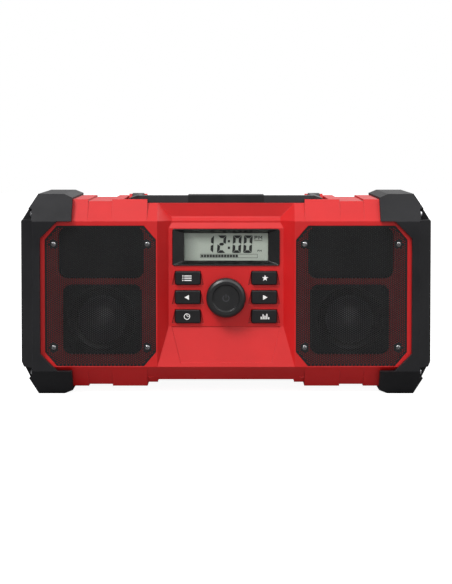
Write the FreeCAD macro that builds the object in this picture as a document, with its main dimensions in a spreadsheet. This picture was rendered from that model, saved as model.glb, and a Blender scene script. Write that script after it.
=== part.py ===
import FreeCAD, Part
import os

import Sketcher
from FreeCAD import Placement, Rotation, Vector

# A jobsite radio: two loudspeakers behind octagonal grilles, a sunk console between them with a
# display, six keys and a push-and-turn knob, rubber end caps that are also the feet, a folding
# carrying handle, and at the back a battery bay and a small socket compartment with a door.
# X runs along the radio, the front faces -Y, Z is up. The origin lies under the middle of the
# footprint, on the surface that the radio stands on. All sizes are in millimetres.

SIZES = {
    # Case, in side view
    "case_half": 190.0,
    "case_front": 81.0,
    "case_top": 195.0,
    "case_bottom": 7.0,
    "slope_drop": 21.3,
    "foot_drop": 21.0,
    "slope_run": 16.0,
    "seam_front": 12.0,
    "wall": 3.0,
    "flange_step": 3.7,
    "flange_run": 17.5,
    "channel_in": 114.0,
    "channel_wide": 24.0,
    "channel_deep": 1.8,
    "flange_wide": 10.3,
    # Speaker chambers
    "front_wall": 7.0,
    "partition_wall": 6.0,
    # Console
    "console_half": 68.6,
    "console_drop": 14.0,
    "console_sink": 11.0,
    "console_thick": 10.5,
    "header_sink": 6.5,
    "header_tall": 13.4,
    "brow_tall": 11.7,
    "flare_tall": 39.4,
    "centre_rise": 6.7,
    "floor_thick": 4.3,
    "plate_taper": 9.1,
    "plate_sink": 0.8,
    # Handle tray and handle
    "tray_side": 5.0,
    "tray_gap": 1.7,
    "tray_behind": 13.0,
    "well_half": 42.0,
    "well_deep": 15.0,
    "well_front": 34.0,
    "handle_half": 98.0,
    "handle_front": 59.8,
    "handle_bar": 18.0,
    "handle_arm": 12.0,
    "handle_corner": 11.0,
    "handle_sink": 7.0,
    "handle_room": 1.0,
    "handle_tall": 10.6,
    "handle_slant": 9.0,
    "handle_slant_drop": 3.2,
    "grip_half": 38.0,
    "grip_skin": 1.0,
    "pivot_back": 22.0,
    "pivot_bore": 5.0,
    "pivot_clearance": 0.05,
    "ear_wall": 3.2,
    "ear_gap": 0.3,
    # Rubber end caps
    "bumper_end": 14.7,
    "bumper_skin": 6.5,
    "bumper_over": 5.6,
    "bumper_side_rise": 5.0,
    "bumper_corner_run": 16.6,
    "bumper_slope_run": 17.5,
    "bumper_face_drop": 3.7,
    "bumper_arm": 36.3,
    "bumper_facet": 12.3,
    "window_rim": 5.0,
    "window_corner": 17.0,
    "arm_tip_run": 8.3,
    "arm_tip_drop": 3.6,
    "cap_screw_rise": 6.8,
    "cap_screw_fall": 5.5,
    "cap_screw_in": 8.0,
    "cap_screw_hold": 3.5,
    "cap_screw_grip": 8.0,
    "slot_half": 5.5,
    # Grille and openings behind it
    "grille_rim": 1.2,
    "grille_end": 9.3,
    "grille_foot": 0.7,
    "grille_head": 4.4,
    "grille_cut_across": 12.0,
    "grille_cut_up": 14.0,
    "grille_sink": 2.0,
    "grille_sheet": 1.0,
    "grille_fit": 0.25,
    "grille_screw_side": 8.6,
    "grille_screw_end": 18.6,
    "port_side_in": 12.2,
    "port_side_out": 13.7,
    "port_tall_open": 51.5,
    "port_head": 1.3,
    "driver_open_side_in": 2.0,
    "driver_open_side_out": 4.0,
    "driver_open_tall": 70.0,
    "bar_tall": 6.0,
    "open_corner": 9.0,
    # Baffle
    "baffle_plate": 3.0,
    "baffle_end": 4.0,
    "port_depth": 14.0,
    "port_wall": 1.4,
    # Loudspeaker driver
    "driver_wide": 76.0,
    "driver_tall": 68.0,
    "driver_flange": 2.0,
    "driver_hole": 32.0,
    "surround_out": 33.5,
    "surround_mid": 29.5,
    "surround_in": 26.0,
    "surround_skin": 0.9,
    "surround_rise": 1.6,
    "cone_throat": 11.0,
    "cone_depth": 11.0,
    "cone_skin": 0.8,
    "dome_radius": 11.5,
    "dome_rise": 4.5,
    "basket_depth": 24.0,
    "basket_foot": 24.0,
    "basket_skin": 1.6,
    "magnet_radius": 28.0,
    "magnet_height": 13.0,
    "driver_screw_x": 33.5,
    "driver_screw_z": 29.5,
    # Display
    "bezel_half": 53.8,
    "bezel_tall": 37.0,
    "bezel_gap": 0.7,
    "bezel_sink": 2.0,
    "bezel_proud": 1.0,
    "bezel_side": 11.6,
    "bezel_low_rim": 5.0,
    "bezel_high_rim": 4.4,
    "bezel_lip": 5.0,
    "bezel_brim": 1.0,
    "collar_inset": 2.0,
    "collar_depth": 7.0,
    "collar_fit": 0.2,
    "window_thick": 1.5,
    "window_lap": 3.0,
    "glass_lap": 0.8,
    "lcd_thick": 2.5,
    # Keys
    "key_x": 38.3,
    "key_wide": 25.5,
    "key_tall": 13.4,
    "key_first": 12.2,
    "key_pitch": 19.3,
    "key_corner": 2.0,
    "key_edge": 0.7,
    "key_gap": 0.3,
    "key_proud": 3.0,
    "key_travel": 1.2,
    "key_flange": 1.5,
    "key_flange_lap": 1.6,
    "key_pocket_side": 3.3,
    "key_pocket_sink": 1.2,
    "key_seat_gap": 0.3,
    # Control board, key mat and rotary control
    "board_gap": 5.3,
    "board_thick": 1.6,
    "board_half": 59.0,
    "board_below": 9.4,
    "post_radius": 2.6,
    "mat_thick": 1.6,
    "mat_half": 54.0,
    "dome_gap": 0.2,
    "knob_radius": 19.7,
    "knob_dish": 12.75,
    "knob_gap": 1.9,
    "knob_deep": 12.5,
    "knob_dish_sink": 1.4,
    "knob_skin": 2.2,
    "knob_hub": 5.6,
    "shaft_radius": 3.0,
    "shaft_short": 2.9,
    "shaft_fit": 0.05,
    "bushing_radius": 4.4,
    "bushing_short": 2.0,
    "coder_half": 6.5,
    "plunger_radius": 2.5,
    "push_travel": 0.8,
    # Rear of the case
    "bay_half": 44.0,
    "bay_low": 52.0,
    "bay_high": 152.0,
    "bay_depth": 40.0,
    "bay_wall": 4.0,
    "rail_in": 24.0,
    "rail_out": 30.0,
    "rail_height": 12.0,
    "rail_lip": 3.2,
    "rail_inset": 8.0,
    "rail_end": 6.0,
    "terminal_wide": 40.0,
    "terminal_tall": 16.0,
    "terminal_deep": 14.0,
    "terminal_fall": 28.0,
    "blade_wide": 1.0,
    "blade_long": 14.0,
    "blade_deep": 7.0,
    "blade_pitch": 8.5,
    # Socket compartment with its door
    "nook_in": 98.0,
    "nook_wide": 52.0,
    "nook_low": 76.0,
    "nook_tall": 50.0,
    "nook_depth": 26.0,
    "nook_wall": 8.0,
    "nook_back": 2.5,
    "door_rim": 5.0,
    "door_thick": 3.0,
    "door_fit": 0.4,
    "hinge_pin": 1.0,
    "hinge_barrel": 2.6,
    "hinge_hold": 2.4,
    "hinge_fit": 0.05,
    "socket_plate": 2.0,
    "jack_radius": 4.0,
    "jack_bore": 1.8,
    "jack_long": 9.0,
    "jack_side": 14.0,
    "jack_drop": 18.0,
    "port_wide": 14.0,
    "port_tall": 7.0,
    "port_long": 9.0,
    "port_skin": 0.8,
    # Bosses and screws
    "boss_radius": 5.5,
    "boss_bore": 1.5,
    "boss_short": 4.0,
    "boss_side": 7.5,
    "boss_rise": 14.0,
    "boss_fall": 17.5,
    "screw_shank": 1.45,
    "screw_head": 3.1,
    "screw_head_tall": 2.2,
    "screw_sink": 12.0,
    # Main board and what it carries
    "main_gap": 13.0,
    "main_thick": 1.6,
    "main_half": 56.0,
    "main_over": 12.0,
    "sink_wide": 44.0,
    "sink_tall": 40.0,
    "sink_base": 3.0,
    "fin_thick": 1.6,
    "fin_count": 7.0,
    "fin_long": 14.0,
    "ferrite_radius": 5.0,
    "ferrite_half": 46.0,
}

doc = FreeCAD.newDocument("jobsite_radio")


# A size that keeps its number together with the sheet expression that gives it


class Dim:
    def __init__(self, text, value):
        self.text = text
        self.value = value

    def _join(self, sign, other, value):
        return Dim("(" + self.text + " " + sign + " " + as_dim(other).text + ")", value)

    def __add__(self, other):
        return self._join("+", other, self.value + as_dim(other).value)

    def __sub__(self, other):
        return self._join("-", other, self.value - as_dim(other).value)

    def __mul__(self, other):
        return self._join("*", other, self.value * as_dim(other).value)

    def __truediv__(self, other):
        return self._join("/", other, self.value / as_dim(other).value)

    def __radd__(self, other):
        return as_dim(other) + self

    def __rsub__(self, other):
        return as_dim(other) - self

    def __rmul__(self, other):
        return as_dim(other) * self

    def __neg__(self):
        return as_dim(0) - self


def as_dim(number):
    if isinstance(number, Dim):
        return number
    return Dim(repr(float(number)), float(number))


class Sizes:
    """The spreadsheet's cells, one attribute for each alias."""


def make_sheet():
    sheet = doc.addObject("Spreadsheet::Sheet", "Sizes")
    sizes = Sizes()
    for row, name in enumerate(SIZES, start=1):
        sheet.set("A" + str(row), name)
        sheet.set("B" + str(row), repr(SIZES[name]))
        sheet.setAlias("B" + str(row), name)
        setattr(sizes, name, Dim("Sizes." + name, SIZES[name]))
    doc.recompute()
    return sizes


s = make_sheet()
SUB_PARTS = []


# Sizes that follow from those in the sheet

s.case_rear = s.case_front
s.face_top = s.case_top - s.slope_drop
s.face_bottom = s.case_bottom + s.foot_drop
s.flange_top = s.case_top - s.flange_step
s.flange_bottom = s.case_bottom + s.flange_step
s.flange_half = s.console_half + s.flange_wide
s.partition_half = s.console_half - s.wall
s.header_bottom = s.flange_top - s.header_tall
s.brow_bottom = s.header_bottom - s.brow_tall
s.console_front = s.case_front - s.console_sink
s.header_front = s.console_front - s.header_sink
s.console_inner = s.console_front - s.console_thick
s.flare_top = s.face_bottom + s.flare_tall
s.centre_bottom = s.case_bottom + s.centre_rise
s.centre_inner_bottom = s.centre_bottom + s.floor_thick
s.plate_top_half = s.console_half - s.console_drop
s.plate_foot_half = s.plate_top_half - s.plate_taper
s.plate_foot = s.face_bottom + s.slope_run / 4
s.handle_low = s.case_top - s.handle_sink
s.tray_floor = s.handle_low - s.handle_room
s.handle_high = s.handle_low + s.handle_tall
s.well_floor = s.tray_floor - s.well_deep
s.tray_half = s.handle_half + s.tray_side
s.tray_front = s.handle_front + s.tray_gap
s.tray_rear = s.pivot_back + s.tray_behind
s.chamber_front = s.case_front - s.front_wall
s.chamber_top = s.tray_floor - s.wall
s.chamber_bottom = s.case_bottom + s.front_wall
s.bumper_half = s.case_half + s.bumper_end
s.bumper_front = s.case_front + s.bumper_skin
s.bumper_top = s.case_top + s.bumper_over
s.bumper_side_top = s.face_top
s.bumper_side_bottom = s.face_bottom + s.bumper_side_rise
s.bumper_face_bottom = s.face_bottom - s.bumper_face_drop
s.bumper_inner = s.case_half - s.bumper_arm
s.window_half = s.case_half - s.window_rim
s.window_top = s.face_top
s.window_bottom = s.face_bottom - s.bumper_face_drop
s.cap_screw_seat = s.case_half + s.cap_screw_hold
s.cap_screw_depth = s.case_front - s.cap_screw_in
s.cap_screw_high = s.face_top + s.cap_screw_rise
s.cap_screw_low = s.face_bottom - s.cap_screw_fall
s.grille_in = s.console_half + s.grille_rim
s.grille_out = s.case_half - s.grille_end
s.grille_low = s.face_bottom + s.grille_foot
s.grille_high = s.face_top - s.grille_head
s.grille_screw_out = s.grille_out - s.grille_screw_side
s.grille_screw_in = s.grille_in + s.grille_screw_side
s.grille_screw_high = s.grille_high - s.grille_screw_end
s.grille_screw_low = s.grille_low + s.grille_screw_end
s.port_in = s.grille_in + s.port_side_in
s.port_out = s.grille_out - s.port_side_out
s.port_high = s.grille_high - s.port_head
s.port_low = s.port_high - s.port_tall_open
s.driver_open_in = s.port_in + s.driver_open_side_in
s.driver_open_out = s.port_out - s.driver_open_side_out
s.driver_open_high = s.port_low - s.bar_tall
s.driver_open_low = s.driver_open_high - s.driver_open_tall
s.driver_x = (s.driver_open_in + s.driver_open_out) / 2
s.driver_z = (s.driver_open_low + s.driver_open_high) / 2
s.baffle_in = s.partition_half + s.partition_wall + s.wall
s.baffle_out = s.grille_out - s.baffle_end
s.baffle_low = s.driver_open_low - s.baffle_end
s.baffle_high = s.port_high + s.baffle_end
s.bezel_high = s.brow_bottom - s.bezel_gap
s.bezel_low = s.bezel_high - s.bezel_tall
s.key_top_z = s.bezel_low - s.key_first
s.knob_z = s.key_top_z - s.key_pitch
s.knob_back = s.console_front + s.knob_gap
s.knob_proud = s.knob_back + s.knob_deep
s.shaft_front = s.knob_proud - s.shaft_short
s.bushing_front = s.console_front - s.bushing_short
s.board_front = s.console_inner - s.board_gap
s.dome_stand = s.board_gap - s.key_seat_gap - s.key_flange - s.key_travel - s.dome_gap - s.mat_thick
s.board_low = s.flare_top - s.board_below
s.board_high = s.brow_bottom
s.boss_in = s.console_half + s.boss_side
s.boss_out = s.case_half - s.boss_side
s.boss_front = s.chamber_front - s.boss_short
s.boss_low = s.case_bottom + s.boss_rise
s.boss_high = s.case_top - s.boss_fall
s.rail_low = s.bay_low + s.rail_inset
s.terminal_low = s.bay_high - s.terminal_fall
s.rail_high = s.terminal_low - s.rail_end
s.nook_out = s.nook_in + s.nook_wide
s.nook_high = s.nook_low + s.nook_tall
s.jack_x = s.nook_in + s.jack_side
s.port_x = s.nook_out - s.jack_side
s.jack_z = s.nook_high - s.jack_drop
s.main_low = s.bay_low - s.main_over
s.main_high = s.bay_high + s.main_over / 2
s.ferrite_z = s.main_high - s.ferrite_radius * 2
s.main_front = s.case_rear - s.bay_depth - s.bay_wall - s.main_gap


# Sketches, features and placements


def new_body(label):
    body = doc.addObject("PartDesign::Body", label)
    body.Label = label
    SUB_PARTS.append(body)
    return body


def origin_feature(body, role):
    return [item for item in body.Origin.OriginFeatures if item.Role == role][0]


def fix_point(sketch, line, end, point):
    for kind, dim in (("DistanceX", point[0]), ("DistanceY", point[1])):
        dim = as_dim(dim)
        index = sketch.addConstraint(Sketcher.Constraint(kind, -1, 1, line, end, dim.value))
        if "Sizes" in dim.text:
            sketch.setExpression("Constraints[" + str(index) + "]", dim.text)


def flat(point):
    return Vector(as_dim(point[0]).value, as_dim(point[1]).value, 0)


def draw_polygon(sketch, points):
    first = sketch.GeometryCount
    count = len(points)
    for index, point in enumerate(points):
        after = points[(index + 1) % count]
        sketch.addGeometry(Part.LineSegment(flat(point), flat(after)))
    for index in range(count):
        fix_point(sketch, first + index, 1, points[index])
        joined = first + (index + 1) % count
        sketch.addConstraint(Sketcher.Constraint("Coincident", first + index, 2, joined, 1))


def draw_circle(sketch, circle):
    middle, radius = circle[1], as_dim(circle[2])
    ring = sketch.addGeometry(Part.Circle(flat(middle), Vector(0, 0, 1), radius.value))
    index = sketch.addConstraint(Sketcher.Constraint("Radius", ring, radius.value))
    if "Sizes" in radius.text:
        sketch.setExpression("Constraints[" + str(index) + "]", radius.text)
    fix_point(sketch, ring, 3, middle)


def draw_rounded(sketch, box):
    """A rectangle from its low and high corners, with round corners."""
    low, high, radius = box[1], box[2], as_dim(box[3])
    x0, y0 = as_dim(low[0]), as_dim(low[1])
    x1, y1 = as_dim(high[0]), as_dim(high[1])
    corners = [
        ((x0 + radius, y0), (x1 - radius, y0), (x1 - radius, y0 + radius), 270),
        ((x1, y0 + radius), (x1, y1 - radius), (x1 - radius, y1 - radius), 0),
        ((x1 - radius, y1), (x0 + radius, y1), (x0 + radius, y1 - radius), 90),
        ((x0, y1 - radius), (x0, y0 + radius), (x0 + radius, y0 + radius), 180),
    ]
    first = sketch.GeometryCount
    for begin, end, middle, angle in corners:
        sketch.addGeometry(Part.LineSegment(flat(begin), flat(end)))
        circle = Part.Circle(flat(middle), Vector(0, 0, 1), radius.value)
        turn = 3.141592653589793 / 180
        sketch.addGeometry(Part.ArcOfCircle(circle, angle * turn, (angle + 90) * turn))
    for side, (begin, end, middle, angle) in enumerate(corners):
        line = first + 2 * side
        after = first + (2 * side + 2) % 8
        fix_point(sketch, line, 1, begin)
        fix_point(sketch, line, 2, end)
        sketch.addConstraint(Sketcher.Constraint("Coincident", line, 2, line + 1, 1))
        sketch.addConstraint(Sketcher.Constraint("Coincident", line + 1, 2, after, 1))
        index = sketch.addConstraint(Sketcher.Constraint("Radius", line + 1, radius.value))
        if "Sizes" in radius.text:
            sketch.setExpression("Constraints[" + str(index) + "]", radius.text)


def new_sketch(body, name, plane, outlines, offset=0):
    """Outlines on an origin plane: lists of points, circles or rounded rectangles.

    On the XZ plane the sketch looks back along +Y, and its offset counts towards the front."""
    sketch = body.newObject("Sketcher::SketchObject", name)
    sketch.AttachmentSupport = [(origin_feature(body, plane), "")]
    sketch.MapMode = "FlatFace"
    offset = as_dim(offset)
    sketch.AttachmentOffset = Placement(Vector(0, 0, offset.value), Rotation())
    if "Sizes" in offset.text:
        sketch.setExpression("AttachmentOffset.Base.z", offset.text)
    draw = {"circle": draw_circle, "rounded": draw_rounded}
    for outline in outlines:
        draw.get(outline[0], draw_polygon)(sketch, outline)
    return sketch


def set_length(feature, name, length):
    length = as_dim(length)
    setattr(feature, name, length.value)
    if "Sizes" in length.text:
        feature.setExpression(name, length.text)


def extrude(body, kind, name, sketch, length, both=False, backward=False):
    feature = body.newObject("PartDesign::" + kind, name)
    feature.Profile = sketch
    set_length(feature, "Length", length)
    if both:
        feature.SideType = "Symmetric"
    feature.Reversed = backward
    sketch.Visibility = False
    return feature


def pad(body, name, sketch, length, both=False, backward=False):
    return extrude(body, "Pad", name, sketch, length, both, backward)


def pocket(body, name, sketch, length, both=False, backward=False):
    """A cut that has to take something away."""
    doc.recompute()
    before = body.Shape.Volume
    feature = extrude(body, "Pocket", name, sketch, length, both, backward)
    doc.recompute()
    if body.Shape.Volume >= before - 1e-6:
        raise RuntimeError(body.Label + " " + name + " cuts nothing")
    return feature


def loft(body, kind, name, first, second):
    feature = body.newObject("PartDesign::" + kind, name)
    feature.Profile = first
    feature.Sections = [second]
    feature.Ruled = True
    return feature


def mirror(body, name, features, plane="YZ_Plane"):
    feature = body.newObject("PartDesign::Mirrored", name)
    feature.Originals = features
    feature.MirrorPlane = (origin_feature(body, plane), [""])
    body.Tip = feature
    return feature


def repeat_along(body, name, features, axis, length, count, backward=False):
    feature = body.newObject("PartDesign::LinearPattern", name)
    feature.Originals = features
    feature.Direction = (origin_feature(body, axis), [""])
    set_length(feature, "Length", length)
    feature.Occurrences = count
    feature.Reversed = backward
    body.Tip = feature
    return feature


def repeat_round(body, name, features, axis, count):
    feature = body.newObject("PartDesign::PolarPattern", name)
    feature.Originals = features
    feature.Axis = (origin_feature(body, axis), [""])
    feature.Angle = 360
    feature.Occurrences = count
    body.Tip = feature
    return feature


def turned(label, name, outline):
    """A body turned about its own Z axis from an outline of radius and height."""
    body = new_body(label)
    sketch = new_sketch(body, name + "_outline", "XZ_Plane", [outline])
    feature = body.newObject("PartDesign::Revolution", name)
    feature.Profile = sketch
    feature.ReferenceAxis = (sketch, ["V_Axis"])
    feature.Angle = 360
    return body


def edge_names(shape, wanted):
    return ["Edge" + str(i) for i, edge in enumerate(shape.Edges, start=1) if wanted(edge)]


def dress(body, kind, name, wanted, size_name, size):
    """A fillet or chamfer on the edges of the body that the test picks."""
    doc.recompute()
    names = edge_names(body.Tip.Shape, wanted)
    if not names:
        raise RuntimeError(body.Label + " " + name + " finds no edge")
    base = body.Tip
    feature = body.newObject("PartDesign::" + kind, name)
    feature.Base = (base, names)
    set_length(feature, size_name, size)
    return feature


def chamfer(body, name, wanted, size):
    return dress(body, "Chamfer", name, wanted, "Size", size)


def near(number, dim):
    return abs(number - as_dim(dim).value) < 1e-3


def place(item, x, y, z, rotation=None):
    """Puts a sub-part at a point that follows the sheet."""
    point = [as_dim(number) for number in (x, y, z)]
    turn = rotation if rotation is not None else Rotation()
    item.Placement = Placement(Vector(*[dim.value for dim in point]), turn)
    for axis, dim in zip("xyz", point, strict=True):
        if "Sizes" in dim.text:
            item.setExpression("Placement.Base." + axis, dim.text)


TO_FRONT = Rotation(Vector(1, 0, 0), 90)
TO_REAR = Rotation(Vector(1, 0, 0), -90)
X_AXIS = Vector(1, 0, 0)
Y_AXIS = Vector(0, 1, 0)
Z_AXIS = Vector(0, 0, 1)
SIDES = (("left", -1), ("right", 1))


# Case outlines in side view, as points of depth and height


def section(front, low, high, run_low, run_high, back, bottom, top):
    return [
        (-front, low),
        (-front, high),
        (-(front - run_high), top),
        (-back, top),
        (-back, bottom),
        (-(front - run_low), bottom),
    ]


def block_section():
    run = s.slope_run
    return section(
        s.case_front, s.face_bottom, s.face_top, run, run, s.seam_front, s.case_bottom, s.case_top
    )


def flange_section():
    run = s.flange_run
    return section(
        s.case_front,
        s.face_bottom,
        s.face_top,
        run,
        run,
        s.seam_front,
        s.flange_bottom,
        s.flange_top,
    )


def centre_run():
    """How far back the console's lower slope reaches, on the flange's own slope."""
    drop = s.face_bottom - s.centre_bottom
    return s.flange_run * drop / (s.face_bottom - s.flange_bottom)


def well_section():
    return section(
        s.case_front - s.console_drop,
        s.face_bottom,
        s.face_top,
        centre_run(),
        s.flange_run,
        s.seam_front,
        s.centre_bottom,
        s.flange_top,
    )


def chamber_section(back):
    slope = s.slope_run - s.wall
    front = s.chamber_front
    return [
        (-front, s.face_bottom + s.wall),
        (-front, s.face_top - s.wall),
        (-(front - slope + s.wall), s.chamber_top),
        (back, s.chamber_top),
        (back, s.chamber_bottom),
        (-(front - slope), s.chamber_bottom),
    ]


def octagon(inner, outer, low, high, across, up):
    return [
        (inner + across, low),
        (outer - across, low),
        (outer, low + up),
        (outer, high - up),
        (outer - across, high),
        (inner + across, high),
        (inner, high - up),
        (inner, low + up),
    ]


def case_bosses():
    return [(x, z) for x in (s.boss_in, s.boss_out) for z in (s.boss_low, s.boss_high)]


def grille_screws():
    across = (s.grille_screw_in, s.grille_screw_out)
    return [(x, z) for x in across for z in (s.grille_screw_low, s.grille_screw_high)]


# Front housing: a moulded shell, stepped and sloped at the top and bottom, with the sunk console


def front_housing():
    body = new_body("front_housing")
    well_half = s.console_half - s.console_drop
    centre = new_sketch(body, "well_profile", "YZ_Plane", [well_section()])
    pad(body, "well", centre, well_half * 2, both=True)
    inner = new_sketch(body, "wall_profile", "YZ_Plane", [well_section()], well_half)
    side_wall = pad(body, "console_wall", inner, s.console_drop)
    side_wall.UseCustomVector = True
    side_wall.AlongSketchNormal = True
    side_wall.Direction = Vector(1, -1, 0)
    deep = s.seam_front + s.console_drop * 2
    behind = [
        (-deep, s.centre_bottom),
        (-deep, s.flange_top),
        (-s.seam_front, s.flange_top),
        (-s.seam_front, s.centre_bottom),
    ]
    shoulder_line = new_sketch(body, "shoulder_profile", "YZ_Plane", [behind], well_half)
    shoulder = pad(body, "shoulder", shoulder_line, s.console_drop)
    strip = new_sketch(body, "flange_profile", "YZ_Plane", [flange_section()], s.console_half)
    flange = pad(body, "flange", strip, s.flange_half - s.console_half)
    side = new_sketch(body, "block_profile", "YZ_Plane", [block_section()], s.flange_half)
    block = pad(body, "block", side, s.case_half - s.flange_half)
    channels = cut_channels(body, -1)
    mirror(body, "other_side", [side_wall, shoulder, flange, block, channels])
    back = s.header_front - s.console_drop
    face = [
        (-s.header_front, s.flange_top),
        (-s.header_front, s.header_bottom),
        (-s.console_front, s.brow_bottom),
        (-s.console_front, s.flare_top),
        (-s.case_front, s.face_bottom),
        (-(s.case_front - centre_run()), s.centre_bottom),
        (-back, s.centre_bottom),
        (-back, s.flange_top),
    ]
    console = new_sketch(body, "console_profile", "YZ_Plane", [face])
    pad(body, "console", console, s.console_half * 2, both=True)
    hollow_front(body)
    cut_console(body)
    cut_speaker_openings(body)
    add_front_bosses(body)
    cut_cap_screw_bores(body, -1)
    return body


def cut_channels(body, facing):
    """Shallow channels across the top and the bottom, which run out at the face."""
    edge = facing * s.case_front
    turn = facing * (s.case_front - s.slope_run)
    joint = -s.seam_front
    outlines = []
    for face, level, sunk in (
        (s.face_top, s.case_top, s.case_top - s.channel_deep),
        (s.face_bottom, s.case_bottom, s.case_bottom + s.channel_deep),
    ):
        outlines.append([(edge, face), (turn, level), (joint, level), (joint, sunk), (turn, sunk)])
    sketch = new_sketch(body, "channel_profile", "YZ_Plane", outlines, s.channel_in)
    return pocket(body, "channels", sketch, s.channel_wide, backward=True)


def hollow_front(body):
    inner = s.partition_half + s.partition_wall
    reach = s.case_half - s.wall - inner
    outline = chamber_section(-s.seam_front)
    chamber = new_sketch(body, "chamber_profile", "YZ_Plane", [outline], inner)
    cut = pocket(body, "chamber", chamber, reach, backward=True)
    mirror(body, "other_chamber", [cut])
    room = [
        (-s.console_inner, s.centre_inner_bottom),
        (-s.console_inner, s.well_floor - s.wall),
        (-s.seam_front, s.well_floor - s.wall),
        (-s.seam_front, s.centre_inner_bottom),
    ]
    centre = new_sketch(body, "centre_room_profile", "YZ_Plane", [room])
    pocket(body, "centre_room", centre, s.partition_half * 2, both=True)
    cut_handle_tray(body, s.tray_front, s.seam_front, s.well_front)


def cut_handle_tray(body, front, back, well_front):
    """The tray on top that the folded handle lies in, and the finger well in its floor."""
    tray = [
        (-s.tray_half, -front),
        (s.tray_half, -front),
        (s.tray_half, -back),
        (-s.tray_half, -back),
    ]
    sketch = new_sketch(body, "tray_outline", "XY_Plane", [tray], s.case_top)
    pocket(body, "tray", sketch, s.case_top - s.tray_floor)
    well = [
        (-s.well_half, -well_front),
        (s.well_half, -well_front),
        (s.well_half, -back),
        (-s.well_half, -back),
    ]
    sketch = new_sketch(body, "well_outline", "XY_Plane", [well], s.case_top)
    pocket(body, "finger_well", sketch, s.case_top - s.well_floor)


def key_rows():
    return [s.key_top_z - s.key_pitch * row for row in range(3)]


def key_outline(x, z, grow, corner):
    wide = s.key_wide / 2 + grow
    tall = s.key_tall / 2 + grow
    return ("rounded", (x - wide, z - tall), (x + wide, z + tall), corner)


def cut_console(body):
    seat = ("rounded", (-s.bezel_half, s.bezel_low), (s.bezel_half, s.bezel_high), s.key_corner)
    sketch = new_sketch(body, "bezel_seat_outline", "XZ_Plane", [seat], s.console_front)
    pocket(body, "bezel_seat", sketch, s.bezel_sink)
    grow = s.collar_fit - s.collar_inset
    half = s.bezel_half + grow
    through = [
        (-half, s.bezel_low - grow),
        (half, s.bezel_low - grow),
        (half, s.bezel_high + grow),
        (-half, s.bezel_high + grow),
    ]
    sketch = new_sketch(body, "display_hole_outline", "XZ_Plane", [through], s.console_front)
    pocket(body, "display_hole", sketch, s.console_front - s.console_inner)
    wide = s.key_wide / 2 + s.key_pocket_side
    tall = s.key_tall / 2 + s.key_gap
    sunk = [
        [
            (x - wide, s.key_top_z - tall),
            (x + wide, s.key_top_z - tall),
            (x + wide - s.key_pocket_side, s.key_top_z + tall),
            (x - wide + s.key_pocket_side, s.key_top_z + tall),
        ]
        for x in (-s.key_x, s.key_x)
    ]
    sketch = new_sketch(body, "key_pocket_outline", "XZ_Plane", sunk, s.console_front)
    cut = pocket(body, "key_pockets", sketch, s.key_pocket_sink)
    repeat_along(body, "key_pocket_rows", [cut], "Z_Axis", s.key_pitch * 2, 3, backward=True)
    holes = [
        key_outline(x, s.key_top_z, s.key_gap, s.key_corner + s.key_gap)
        for x in (-s.key_x, s.key_x)
    ]
    sketch = new_sketch(body, "key_hole_outline", "XZ_Plane", holes, s.console_front)
    cut = pocket(body, "key_holes", sketch, s.console_front - s.console_inner)
    repeat_along(body, "key_hole_rows", [cut], "Z_Axis", s.key_pitch * 2, 3, backward=True)
    ring = ("circle", (0, s.knob_z), s.bushing_radius + s.shaft_fit)
    sketch = new_sketch(body, "bushing_hole_outline", "XZ_Plane", [ring], s.console_front)
    pocket(body, "bushing_hole", sketch, s.console_front - s.console_inner)
    cut_name_plate(body)


def cut_name_plate(body):
    """A shallow bare panel on the flared lower part of the console."""
    slope = (s.case_front - s.console_front) / (s.flare_top - s.face_bottom)
    foot_front = s.case_front - slope * (s.plate_foot - s.face_bottom)
    foot = new_sketch(
        body,
        "plate_foot_line",
        "XY_Plane",
        [
            [
                (-s.plate_foot_half, -(foot_front + s.wall)),
                (s.plate_foot_half, -(foot_front + s.wall)),
                (s.plate_foot_half, -(foot_front - s.plate_sink)),
                (-s.plate_foot_half, -(foot_front - s.plate_sink)),
            ]
        ],
        s.plate_foot,
    )
    head = new_sketch(
        body,
        "plate_head_line",
        "XY_Plane",
        [
            [
                (-s.plate_top_half, -(s.console_front + s.wall)),
                (s.plate_top_half, -(s.console_front + s.wall)),
                (s.plate_top_half, -(s.console_front - s.plate_sink)),
                (-s.plate_top_half, -(s.console_front - s.plate_sink)),
            ]
        ],
        s.flare_top,
    )
    loft(body, "SubtractiveLoft", "name_panel", foot, head)


def cut_speaker_openings(body):
    rim = octagon(
        s.grille_in,
        s.grille_out,
        s.grille_low,
        s.grille_high,
        s.grille_cut_across,
        s.grille_cut_up,
    )
    sketch = new_sketch(body, "grille_seat_outline", "XZ_Plane", [rim], s.case_front)
    seat = pocket(body, "grille_seat", sketch, s.grille_sink)
    holes = [
        ("rounded", (s.port_in, s.port_low), (s.port_out, s.port_high), s.open_corner),
        (
            "rounded",
            (s.driver_open_in, s.driver_open_low),
            (s.driver_open_out, s.driver_open_high),
            s.open_corner,
        ),
    ]
    sketch = new_sketch(body, "opening_outline", "XZ_Plane", holes, s.case_front)
    opening = pocket(body, "speaker_openings", sketch, s.case_front - s.chamber_front)
    screws = [("circle", spot, s.screw_shank) for spot in grille_screws()]
    sketch = new_sketch(body, "grille_screw_holes", "XZ_Plane", screws, s.case_front)
    holes = pocket(body, "grille_screw_bores", sketch, s.case_front - s.chamber_front)
    mirror(body, "other_openings", [seat, opening, holes])


def board_posts():
    edge = s.board_half - s.post_radius
    low = s.board_low + s.post_radius
    high = s.board_high - s.post_radius
    return [(x, z) for x in (-edge, edge) for z in (low, high)]


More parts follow.
